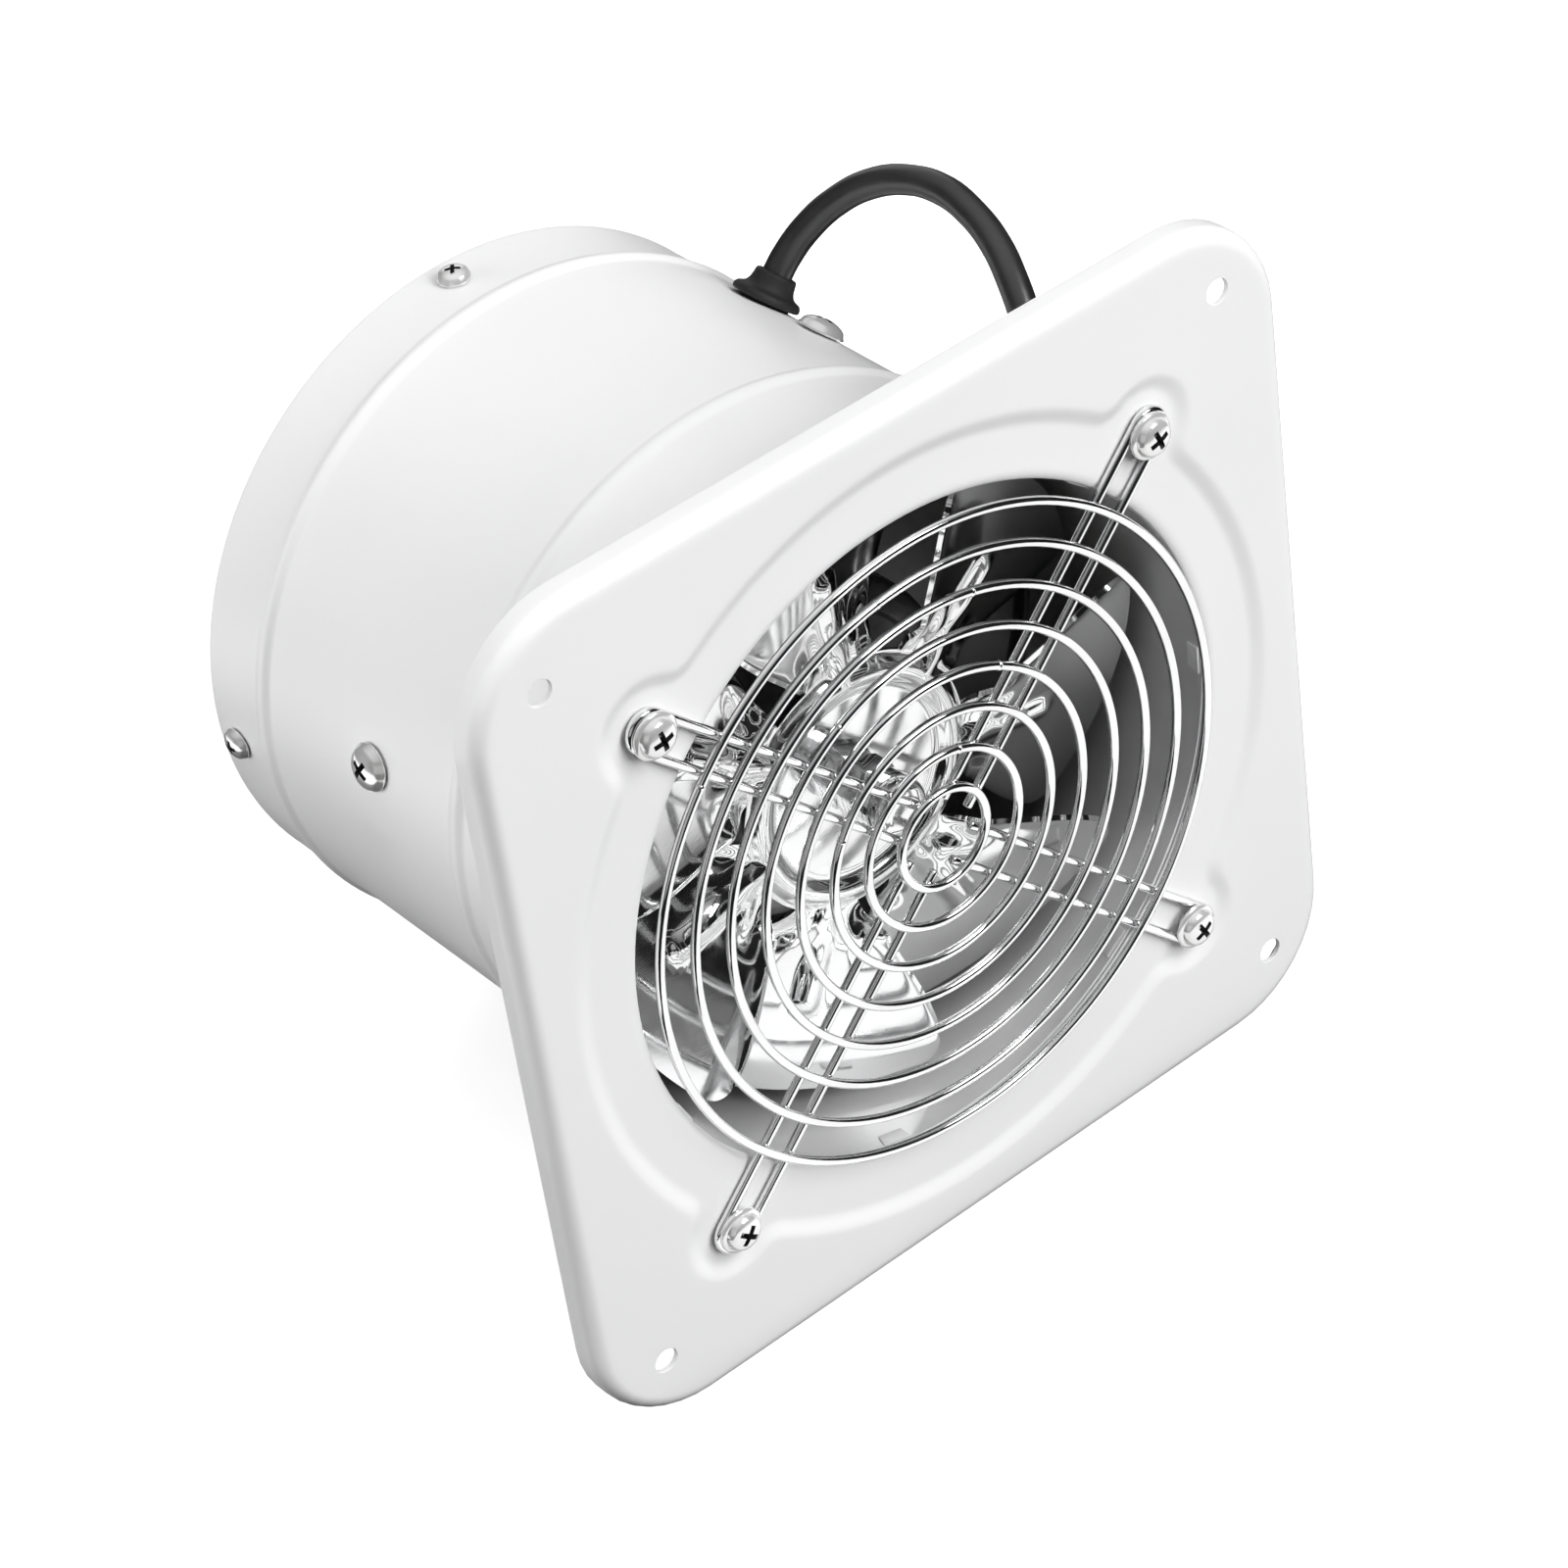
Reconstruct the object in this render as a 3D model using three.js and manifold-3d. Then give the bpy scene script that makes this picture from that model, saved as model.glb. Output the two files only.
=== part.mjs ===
// Inline duct fan: a sheet-metal duct with a square wall flange, a wire guard at each end, and an axial
// impeller on a small induction motor held by a three-armed bracket.
// Units are millimetres. The duct axis is Y and air enters at the flange, which faces -Y. +Z is up.
// The origin is on the duct axis in the wall plane, where the flange's folded rim meets the wall.
import * as THREE from 'three';
import { mergeVertices } from 'three/addons/utils/BufferGeometryUtils.js';
import Module from 'manifold-3d';

const wasm = await Module();
wasm.setup();

// ---- driving dimensions ----
const GAP = 0.3;                    // clearance between neighbouring pieces
const SHEET = 1.2;                  // flange sheet
const FLANGE_SIDE = 200;
const FLANGE_CORNER = 26;
const FLANGE_BEND = 3.5;
const RIM_DEPTH = 7;
const FIXING_PITCH = 168;           // square of the four wall-screw holes
const FIXING_HOLE_RADIUS = 2.75;
const GUARD_HOLE_RADIUS = 2.3;
const RECESS_DEPTH = 1.1;
const RECESS_RADIUS = 87.7;
const LOBE_RADIUS = 10.4;
const GUARD_SCREW_REACH = 88.2;     // duct axis to each guard screw

const DUCT_RADIUS = 75;
const DUCT_WALL = 0.9;
const DUCT_BORE = DUCT_RADIUS - DUCT_WALL;
const DUCT_END = 136;
const BEAD_HEIGHT = 1;
const BEAD_HALF_WIDTH = 3;
const BEADS = [50.5, 116.5];
const WELD_FLANGE_RADIUS = 82;
const FOOT_FACE = DUCT_BORE - 0.6;  // outer face of the flat feet that bolt to the inside of the duct

const FLOOR_OF_RECESS = -RIM_DEPTH + RECESS_DEPTH;
const BACK_OF_RECESS = FLOOR_OF_RECESS + SHEET;

const WIRE = 1;                     // radius of the guard wire
const GUARD_RINGS = 8;
const GUARD_INNER_RING = 11;
const GUARD_OUTER_RING = 71.3;
const ARM_INNER_END = 7;
const ARM_HALF_WIDTH = 3.9;
const ARM_Y = FLOOR_OF_RECESS - WIRE - GAP;
const RING_Y = ARM_Y - 1.6 * WIRE;

const BRACKET_SCREW_Y = 78.5;
const BRACKET_ANGLES = [47.6, 167.6, 287.6];
const BRACKET_HOLE_RADIUS = 2.9;
const REAR_SCREW_Y = 128.5;
const REAR_ANGLES = [2, 92, 182, 272];
const REAR_HOLE_RADIUS = 2.4;
const REAR_RINGS = [15, 32, 49, 66];
const REAR_ARM_WIRE = 1.2;          // radius of the rear guard's thicker arm wire
const REAR_ARM_INNER_END = 10;
const LUG_HALF_WIDTH = 4.5;
const CABLE_Y = 96;
const CABLE_ANGLE = 48;
const CABLE_RADIUS = 3.25;
const CABLE_HOLE_RADIUS = 5.8;      // for the grommet

const HUB_Y = 18;                   // front face of the impeller's centre disc
const HUB_RADIUS = 29;
const HUB_RING_RADIUS = 24.8;       // the pressed ring round the disc
const HUB_RING_BULGE = 2.3;
const BOSS_RADIUS = 10;
const BOSS_REAR = 28.5;
const IMPELLER_NUT = 12;            // across flats
const CAP_RADIUS = 6.8;
const BLADES = 7;
const FIRST_BLADE = 39.7;
const BLADE_TIP = 69.8;
const BLADE_ROOT_HALF_ANGLE = 17;
const BLADE_TIP_HALF_ANGLE = 28.2;
const BLADE_RISE = 10.8;            // how far a blade's leading corner stands in front of the disc
const BLADE_SHEET = 1;
const BLADE_CORNER = 5;
const BLADE_RIB_START = 35.5;
const BLADE_RIB_END = 51;
const BLADE_RIB_HALF_WIDTH = 2.5;

const SHAFT_RADIUS = 4;
const SHAFT_FRONT = 5;
const SHAFT_REAR = 82;
const SHAFT_BORE = SHAFT_RADIUS + GAP;
const MOTOR_RADIUS = 38;
const MOTOR_WALL = 2.5;
const MOTOR_FRONT = 32;
const STATOR_FRONT = 46;
const STATOR_REAR = 70;
const MOTOR_REAR = 84.5;
const ROTOR_RADIUS = 20;
const WINDING_INNER = 22;
const WINDING_OUTER = 30;
const WINDING_DEPTH = 8;
const BEARING_RADIUS = 8;
const BEARING_SEAT = BEARING_RADIUS + GAP;
const BEARING_LENGTH = 6.2;
const BOLT_CIRCLE = 33;
const BOLT_ANGLES = [107.6, 227.6, 347.6];
const BRACKET_SHEET = 1.5;
const BRACKET_ARM_WIDTH = 14;
const BRACKET_RING_BORE = 12;

const SURFACE = -FLANGE_SIDE / 2;   // level of the surface that the spare cable lies on
const COIL_CENTRE = [48, 62];
const COIL_RADIUS = 36;             // to the middle of the bundle of turns
const COIL_HALF_WIDTH = 11.6;
const TIE_SHEET = 0.6;
const TIE_ANGLE = 200;
const COIL_BOTTOM = SURFACE + TIE_SHEET + GAP;
const COIL_TOP = COIL_BOTTOM + 4 * CABLE_RADIUS;
const PLUG_ENTRY = [38, 123];
const PLUG_LENGTH = 35;
const PLUG_HEIGHT = 14;
const PIN_SPACING = 19;
const PIN_LENGTH = 19;

// ---- materials ----
function finish(color, roughness, metalness) {
  return new THREE.MeshStandardMaterial({ color, roughness, metalness });
}

const WHITE_PAINT = finish(0xf1f1f1, 0.35, 0);
const CHROME = finish(0xd4d6d8, 0.1, 1);
const POLISHED_STEEL = finish(0xc9cccf, 0.15, 1);
const ZINC = finish(0xa9adb0, 0.35, 1);
const LAMINATION = finish(0x5b5e61, 0.5, 1);
const CAST_ALUMINIUM = finish(0x9c9fa1, 0.45, 1);
const COPPER = finish(0x9a4a22, 0.4, 1);
const BRONZE = finish(0x8f6a3a, 0.45, 1);
const RUBBER = finish(0x1b1b1b, 0.65, 0);
const CABLE_JACKET = finish(0x242424, 0.5, 0);

// ---- solids ----
function signedVolume(positions, index) {
  const [a, b, c] = [new THREE.Vector3(), new THREE.Vector3(), new THREE.Vector3()];
  let volume = 0;
  for (let i = 0; i < index.length; i += 3) {
    a.fromArray(positions, 3 * index[i]);
    b.fromArray(positions, 3 * index[i + 1]);
    c.fromArray(positions, 3 * index[i + 2]);
    volume += a.dot(b.cross(c));
  }
  return volume;
}

function toSolid(geometry) {
  const bare = geometry.clone();
  bare.deleteAttribute('normal');
  bare.deleteAttribute('uv');
  const merged = mergeVertices(bare, 1e-4);
  const positions = merged.attributes.position.array;
  const index = merged.index.array;
  const kept = [];
  for (let i = 0; i < index.length; i += 3) {
    const [a, b, c] = [index[i], index[i + 1], index[i + 2]];
    if (a !== b && b !== c && c !== a) kept.push(a, b, c);
  }
  if (signedVolume(positions, kept) < 0) kept.reverse();
  const mesh = new wasm.Mesh({
    numProp: 3,
    vertProperties: new Float32Array(positions),
    triVerts: new Uint32Array(kept),
  });
  mesh.merge();
  return new wasm.Manifold(mesh);
}

function toGeometry(solid) {
  const mesh = solid.getMesh();
  const geometry = new THREE.BufferGeometry();
  const positions = new Float32Array(mesh.vertProperties);
  geometry.setAttribute('position', new THREE.BufferAttribute(positions, 3));
  geometry.setIndex(Array.from(mesh.triVerts));
  geometry.computeVertexNormals();
  return geometry;
}

const join = (geometries) => geometries.map(toSolid).reduce((whole, piece) => whole.add(piece));
const cut = (solid, geometries) => (
  geometries.map(toSolid).reduce((whole, tool) => whole.subtract(tool), solid));

// A solid of revolution about Y from a closed outline of [radius, y] points.
function lathe(outline, segments) {
  const closed = [...outline, outline[0]].map(([r, y]) => new THREE.Vector2(r, y));
  return new THREE.LatheGeometry(closed, segments);
}

function tubeSection(inner, outer, y0, y1, segments) {
  return lathe([[inner, y0], [outer, y0], [outer, y1], [inner, y1]], segments);
}

function rod(radius, y0, y1, segments) {
  return new THREE.CylinderGeometry(radius, radius, y1 - y0, segments).translate(0, (y0 + y1) / 2, 0);
}

function hexPrism(acrossFlats, y0, y1) {
  return rod(acrossFlats / Math.sqrt(3), y0, y1, 6);
}

function block(x0, x1, y0, y1, z0, z1) {
  const box = new THREE.BoxGeometry(x1 - x0, y1 - y0, z1 - z0);
  return box.translate((x0 + x1) / 2, (y0 + y1) / 2, (z0 + z1) / 2);
}

// An outline drawn in X and Z, made solid between two Y levels.
function slab(shape, y0, y1, options = {}) {
  const settings = { depth: y1 - y0, bevelEnabled: false, curveSegments: 8, ...options };
  return new THREE.ExtrudeGeometry(shape, settings).rotateX(Math.PI / 2).translate(0, y1, 0);
}

const radians = THREE.MathUtils.degToRad;
const aroundDuct = (angle) => new THREE.Vector3(Math.cos(radians(angle)), 0, Math.sin(radians(angle)));

// Turns a geometry built along +Y so that +Y points along a direction, and moves its origin to a point.
function aim(geometry, point, direction) {
  const up = new THREE.Vector3(0, 1, 0);
  const turn = new THREE.Quaternion().setFromUnitVectors(up, direction.clone().normalize());
  return geometry.clone().applyQuaternion(turn).translate(point.x, point.y, point.z);
}

// Turns a geometry built at angle 0 round the duct axis.
const spun = (geometry, angle) => geometry.clone().rotateY(-radians(angle));

const fan = new THREE.Group();

function add(name, shape, material) {
  const geometry = shape.isBufferGeometry ? toGeometry(toSolid(shape)) : toGeometry(shape);
  const mesh = new THREE.Mesh(geometry, material);
  mesh.name = name;
  fan.add(mesh);
  return mesh;
}

// ---- flange ----
function roundedSquare(side, radius) {
  const half = side / 2;
  const straight = half - radius;
  const shape = new THREE.Shape();
  shape.moveTo(-straight, -half);
  shape.lineTo(straight, -half);
  shape.absarc(straight, -straight, radius, -Math.PI / 2, 0, false);
  shape.lineTo(half, straight);
  shape.absarc(straight, straight, radius, 0, Math.PI / 2, false);
  shape.lineTo(-straight, half);
  shape.absarc(-straight, straight, radius, Math.PI / 2, Math.PI, false);
  shape.lineTo(-half, -straight);
  shape.absarc(-straight, -straight, radius, Math.PI, 1.5 * Math.PI, false);
  return shape;
}

// A circle with a round lobe at each guard screw.
function recessOutline(grow) {
  const radius = RECESS_RADIUS + grow;
  const lobe = LOBE_RADIUS + grow;
  const reach = GUARD_SCREW_REACH;
  const meet = Math.acos((radius ** 2 + reach ** 2 - lobe ** 2) / (2 * radius * reach));
  const turn = Math.PI - Math.acos((reach ** 2 + lobe ** 2 - radius ** 2) / (2 * reach * lobe));
  const shape = new THREE.Shape();
  for (let i = 0; i < 4; i++) {
    const angle = (i + 0.5) * Math.PI / 2;
    shape.absarc(0, 0, radius, angle - Math.PI / 2 + meet, angle - meet, false);
    shape.absarc(reach * Math.cos(angle), reach * Math.sin(angle), lobe, angle - turn, angle + turn, false);
  }
  return shape;
}

function pressedTray(side, corner, bend, front, back) {
  const rounding = { bevelEnabled: true, bevelSize: bend, bevelThickness: bend, bevelSegments: 2 };
  const shape = roundedSquare(side - 2 * bend, corner - bend);
  const deep = slab(shape, front + bend, back + 4 * bend, { ...rounding, curveSegments: 4 });
  const far = block(-side, side, back, back + 10 * bend, -side, side);
  return cut(toSolid(deep), [far]);
}

const DIAGONALS = [45, 135, 225, 315];
const guardScrewPlaces = DIAGONALS.map((angle) => aroundDuct(angle).multiplyScalar(GUARD_SCREW_REACH));
const fixingPlaces = DIAGONALS.map((angle) => aroundDuct(angle).multiplyScalar(FIXING_PITCH / Math.SQRT2));

function flangePlate() {
  const outer = pressedTray(FLANGE_SIDE, FLANGE_CORNER, FLANGE_BEND, -RIM_DEPTH, 0);
  const hollow = pressedTray(
    FLANGE_SIDE - 2 * SHEET, FLANGE_CORNER - SHEET, FLANGE_BEND - SHEET, -RIM_DEPTH + SHEET, SHEET);
  const pan = slab(recessOutline(SHEET), -RIM_DEPTH + SHEET / 2, BACK_OF_RECESS, { curveSegments: 4 });
  const sunk = slab(recessOutline(0), -RIM_DEPTH - SHEET, FLOOR_OF_RECESS, { curveSegments: 4 });
  const punch = (radius, segments) => rod(radius, -2 * RIM_DEPTH, RIM_DEPTH, segments);
  const holes = [
    punch(DUCT_BORE, 40),
    ...guardScrewPlaces.map((place) => punch(GUARD_HOLE_RADIUS, 10).translate(place.x, 0, place.z)),
    ...fixingPlaces.map((place) => punch(FIXING_HOLE_RADIUS, 12).translate(place.x, 0, place.z)),
  ];
  return cut(outer.subtract(hollow).add(toSolid(pan)), [sunk, ...holes]);
}

add('flange_plate', flangePlate(), WHITE_PAINT);

// ---- duct ----
function ductTube() {
  const front = BACK_OF_RECESS + GAP;
  const bead = (y, radius, direction) => [
    [radius, y - direction * BEAD_HALF_WIDTH],
    [radius + BEAD_HEIGHT, y],
    [radius, y + direction * BEAD_HALF_WIDTH],
  ];
  const outline = [
    [DUCT_BORE, front],
    [WELD_FLANGE_RADIUS, front],
    [WELD_FLANGE_RADIUS, front + DUCT_WALL],
    [DUCT_RADIUS, front + DUCT_WALL],
    ...BEADS.flatMap((y) => bead(y, DUCT_RADIUS, 1)),
    [DUCT_RADIUS, DUCT_END],
    [DUCT_BORE, DUCT_END],
    ...[...BEADS].reverse().flatMap((y) => bead(y, DUCT_BORE, -1)),
  ];
  const drill = (angle, y, radius) => {
    const out = aroundDuct(angle);
    const start = out.clone().multiplyScalar(DUCT_BORE - 4).setY(y);
    return aim(rod(radius, 0, 10, 12), start, out);
  };
  return cut(toSolid(lathe(outline, 40)), [
    ...BRACKET_ANGLES.map((angle) => drill(angle, BRACKET_SCREW_Y, BRACKET_HOLE_RADIUS)),
    ...REAR_ANGLES.map((angle) => drill(angle, REAR_SCREW_Y, REAR_HOLE_RADIUS)),
    drill(CABLE_ANGLE, CABLE_Y, CABLE_HOLE_RADIUS),
  ]);
}

add('duct_tube', ductTube(), WHITE_PAINT);

// ---- screws and nuts, built along +Y with the underside of the head at 0 ----
function screw(headRadius, headHeight, shankRadius, length) {
  return lathe([
    [0, headHeight],
    [0.75 * headRadius, 0.7 * headHeight],
    [headRadius, 0.2 * headHeight],
    [headRadius, 0],
    [shankRadius, 0],
    [shankRadius, -length],
    [0, -length],
  ], 9);
}

function nut(acrossFlats, boreRadius, height) {
  return cut(toSolid(hexPrism(acrossFlats, 0, height)), [rod(boreRadius, -1, height + 1, 10)]);
}

const forward = new THREE.Vector3(0, -1, 0);
const outward = new THREE.Vector3(1, 0, 0);
const headSeat = ARM_Y - WIRE - 0.2;
guardScrewPlaces.forEach((place, i) => {
  const seat = place.clone().setY(headSeat);
  add(`guard_screw_${i + 1}`, aim(screw(5.1, 3.1, 2, -1 - headSeat), seat, forward), CHROME);
  const back = place.clone().setY(BACK_OF_RECESS + 3.4);
  add(`guard_nut_${i + 1}`, aim(toGeometry(nut(7, 2.3, 3.1)), back, forward), ZINC);
});

function radialFastener(name, angle, y, shape, radius, direction, material) {
  const out = aroundDuct(angle);
  const point = out.clone().multiplyScalar(radius).setY(y);
  add(name, aim(shape, point, out.multiplyScalar(direction)), material);
}

BRACKET_ANGLES.forEach((angle, i) => {
  const head = DUCT_RADIUS + 0.35;
  radialFastener(
    `bracket_screw_${i + 1}`, angle, BRACKET_SCREW_Y, screw(5.2, 3, 2.5, 8.6), head, 1, CHROME);
  const nutSeat = FOOT_FACE - BRACKET_SHEET - GAP;
  radialFastener(
    `bracket_nut_${i + 1}`, angle, BRACKET_SCREW_Y, toGeometry(nut(8, 2.8, 4)), nutSeat, -1, ZINC);
});

REAR_ANGLES.forEach((angle, i) => {
  radialFastener(
    `rear_screw_${i + 1}`, angle, REAR_SCREW_Y, screw(3.6, 2.4, 2, 7), DUCT_RADIUS + GAP, 1, CHROME);
  const nutSeat = FOOT_FACE - SHEET - GAP;
  radialFastener(`rear_nut_${i + 1}`, angle, REAR_SCREW_Y, toGeometry(nut(7, 2.3, 3.1)), nutSeat, -1, ZINC);
});

// ---- wire guards ----
function wireRing(radius, y, wire) {
  const segments = Math.round(8 + radius * 0.36);
  return new THREE.TorusGeometry(radius, wire, 6, segments).rotateX(Math.PI / 2).translate(0, y, 0);
}

// A hairpin of wire pointing along +X: out along one side, round the screw, and back along the other.
// Each straight side takes one step of a sweep and the bend takes all the others.
class Hairpin extends THREE.Curve {
  constructor(start, bendCentre, halfWidth, steps) {
    super();
    Object.assign(this, { start, bendCentre, halfWidth, steps });
  }

  getUtoTmapping(u) {
    return u;
  }

  getPoint(t, target = new THREE.Vector3()) {
    const step = t * this.steps;
    const straight = this.bendCentre - this.start;
    if (step < 1) return target.set(this.start + step * straight, 0, this.halfWidth);
    if (step > this.steps - 1) {
      return target.set(this.start + (this.steps - step) * straight, 0, -this.halfWidth);
    }
    const angle = Math.PI / 2 - Math.PI * (step - 1) / (this.steps - 2);
    const x = this.bendCentre + this.halfWidth * Math.cos(angle);
    return target.set(x, 0, this.halfWidth * Math.sin(angle));
  }
}

function wireSection(radius, sides) {
  const shape = new THREE.Shape();
  for (let i = 0; i < sides; i++) {
    const angle = 2 * Math.PI * (i + 0.5) / sides;
    shape[i ? 'lineTo' : 'moveTo'](radius * Math.cos(angle), radius * Math.sin(angle));
  }
  return shape;
}

function sweep(curve, radius, sides, steps) {
  return new THREE.ExtrudeGeometry(wireSection(radius, sides), { steps, extrudePath: curve });
}

function frontGuard() {
  const pitch = (GUARD_OUTER_RING - GUARD_INNER_RING) / (GUARD_RINGS - 1);
  const counted = [...Array(GUARD_RINGS).keys()];
  const rings = counted.map((i) => wireRing(GUARD_INNER_RING + i * pitch, RING_Y, WIRE));
  const steps = 10;
  const bent = new Hairpin(ARM_INNER_END, GUARD_SCREW_REACH + 1, ARM_HALF_WIDTH, steps);
  const hairpin = sweep(bent, WIRE, 6, steps).translate(0, ARM_Y, 0);
  const arms = DIAGONALS.map((angle) => spun(hairpin, angle));
  return join([...rings, ...arms]);
}

add('front_guard', frontGuard(), CHROME);

function rearGuard() {
  const y = DUCT_END - 1.8;
  const rings = REAR_RINGS.map((radius) => wireRing(radius, y - 1.9, WIRE));
  const arms = REAR_ANGLES.map((angle) => {
    const spoke = sweep(
      new THREE.LineCurve3(outward.clone().setX(REAR_ARM_INNER_END), outward.clone().setX(FOOT_FACE - 1)),
      REAR_ARM_WIRE, 6, 1);
    const lug = block(
      FOOT_FACE - SHEET, FOOT_FACE, REAR_SCREW_Y - 5, y + 0.6, -LUG_HALF_WIDTH, LUG_HALF_WIDTH);
    const inDuct = new THREE.Vector3(FOOT_FACE - 7.5, REAR_SCREW_Y, 0);
    const hole = aim(rod(REAR_HOLE_RADIUS, 0, 12, 10), inDuct, outward);
    const arm = toSolid(spoke.translate(0, y, 0)).add(cut(toSolid(lug), [hole]));
    return spun(toGeometry(arm), angle);
  });
  return join([...rings, ...arms]);
}

add('rear_guard', rearGuard(), CHROME);

// ---- impeller ----
// Where across a blade its mesh has lines, from the trailing edge at -1 to the leading edge at 1.
const BLADE_LINES = [-1, -0.94, -0.86, 0, 0.86, 0.94, 1];
const BLADE_ROWS = 3;

// Half the angle that a blade spans at a radius.
function bladeHalfAngle(radius) {
  const t = (radius - HUB_RADIUS) / (BLADE_TIP - HUB_RADIUS);
  return BLADE_ROOT_HALF_ANGLE + (BLADE_TIP_HALF_ANGLE - BLADE_ROOT_HALF_ANGLE) * Math.min(1, 1.7 * t);
}

// The blade's outer end, with its two corners rounded off.
function bladeTip(u) {
  const halfWidth = BLADE_TIP * radians(BLADE_TIP_HALF_ANGLE);
  const fromEdge = halfWidth * (1 - Math.abs(u));
  const inCorner = Math.max(0, BLADE_CORNER - fromEdge);
  return BLADE_TIP - BLADE_CORNER + Math.sqrt(BLADE_CORNER ** 2 - inCorner ** 2);
}

function bladePoint(u, t, back) {
  const inner = HUB_RADIUS - 1.5;
  const radius = inner + (bladeTip(u) - inner) * t;
  const angle = radians(u * bladeHalfAngle(radius));
  const rise = BLADE_RISE * u * Math.min(1, 0.25 + 0.9 * t);
  return [radius * Math.cos(angle), HUB_Y + 0.1 - rise + back * BLADE_SHEET, radius * Math.sin(angle)];
}

function blade() {
  const positions = [0, 1].flatMap((back) => (
    [...Array(BLADE_ROWS + 1).keys()].flatMap((j) => (
      BLADE_LINES.flatMap((u) => bladePoint(u, j / BLADE_ROWS, back))))));
  const row = BLADE_LINES.length;
  const layer = row * (BLADE_ROWS + 1);
  const index = [];
  const quad = (a, b, c, d) => index.push(a, b, c, a, c, d);
  for (let j = 0; j < BLADE_ROWS; j++) {
    for (let i = 0; i < row - 1; i++) {
      const a = j * row + i;
      quad(a, a + 1, a + row + 1, a + row);
      quad(layer + a, layer + a + row, layer + a + row + 1, layer + a + 1);
    }
    const trailing = j * row;
    const leading = trailing + row - 1;
    quad(trailing, trailing + row, layer + trailing + row, layer + trailing);
    quad(leading, layer + leading, layer + leading + row, leading + row);
  }
  for (let root = 0; root < row - 1; root++) {
    const tip = BLADE_ROWS * row + root;
    quad(root, layer + root, layer + root + 1, root + 1);
    quad(tip, tip + 1, layer + tip + 1, layer + tip);
  }
  const geometry = new THREE.BufferGeometry();
  geometry.setAttribute('position', new THREE.BufferAttribute(new Float32Array(positions), 3));
  geometry.setIndex(index);
  return geometry;
}

// The stiffening rib pressed into each blade along its middle line.
function bladeRib() {
  const outline = new THREE.Shape();
  outline.absarc(BLADE_RIB_START, 0, BLADE_RIB_HALF_WIDTH, Math.PI / 2, 1.5 * Math.PI, false);
  outline.absarc(BLADE_RIB_END, 0, BLADE_RIB_HALF_WIDTH, -Math.PI / 2, Math.PI / 2, false);
  const bevel = { bevelEnabled: true, bevelSegments: 1, bevelSize: 1, bevelThickness: 0.8, bevelOffset: -1 };
  return slab(outline, HUB_Y - 0.7, HUB_Y + 0.3, { curveSegments: 2, ...bevel });
}

const bladeAngles = [...Array(BLADES).keys()].map((i) => FIRST_BLADE + 360 * i / BLADES);

function impeller() {
  const ring = HUB_RING_RADIUS;
  const bulge = HUB_RING_BULGE;
  const bore = SHAFT_BORE;
  const disc = lathe([
    [bore, HUB_Y], [ring - bulge, HUB_Y], [ring - 0.5 * bulge, HUB_Y - 0.8 * bulge],
    [ring + 0.5 * bulge, HUB_Y - 0.8 * bulge], [ring + bulge, HUB_Y], [HUB_RADIUS, HUB_Y],
    [HUB_RADIUS, HUB_Y + SHEET], [bore, HUB_Y + SHEET],
  ], 28);
  return join([disc, ...bladeAngles.flatMap((angle) => [spun(blade(), angle), spun(bladeRib(), angle)])]);
}

add('impeller', impeller(), POLISHED_STEEL);
const boss = tubeSection(SHAFT_BORE, BOSS_RADIUS, HUB_Y + SHEET + GAP, BOSS_REAR, 16);
add('impeller_boss', boss, CAST_ALUMINIUM);
const nutFront = HUB_Y - 7;
const nutBore = rod(SHAFT_BORE, 0, HUB_Y, 14);
add('impeller_nut', cut(toSolid(hexPrism(IMPELLER_NUT, nutFront, HUB_Y - GAP)), [nutBore]), CHROME);
const capFront = SHAFT_FRONT - 2.5;
const capOutline = [
  [0, capFront], [CAP_RADIUS - 2.3, capFront], [CAP_RADIUS - 0.5, capFront + 1.2],
  [CAP_RADIUS, capFront + 3], [CAP_RADIUS, nutFront - GAP],
  [SHAFT_BORE, nutFront - GAP], [SHAFT_BORE, SHAFT_FRONT - GAP], [0, SHAFT_FRONT - GAP],
];
add('shaft_end_cap', lathe(capOutline, 16), CHROME);

// ---- motor ----
add('motor_shaft', rod(SHAFT_RADIUS, SHAFT_FRONT, SHAFT_REAR, 16), ZINC);
const rotorCore = tubeSection(SHAFT_BORE, ROTOR_RADIUS, STATOR_FRONT + 0.5, STATOR_REAR - 0.5, 20);
add('rotor_core', rotorCore, LAMINATION);

const boltAt = (angle) => aroundDuct(angle).multiplyScalar(BOLT_CIRCLE);
const boltHoles = BOLT_ANGLES.map((angle) => {
  const place = boltAt(angle);
  return rod(2.1, 0, 150, 10).translate(place.x, 0, place.z);
});
const drilled = (geometry) => cut(toSolid(geometry), boltHoles);

const statorFront = STATOR_FRONT + GAP;
const statorRear = STATOR_REAR - GAP;
const statorBore = ROTOR_RADIUS + 0.6;
add('stator_core', drilled(tubeSection(statorBore, MOTOR_RADIUS, statorFront, statorRear, 28)), LAMINATION);
const winding = (front) => tubeSection(WINDING_INNER, WINDING_OUTER, front, front + WINDING_DEPTH, 20);
add('winding_front', winding(STATOR_FRONT - WINDING_DEPTH), COPPER);
add('winding_rear', winding(STATOR_REAR), COPPER);

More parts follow.
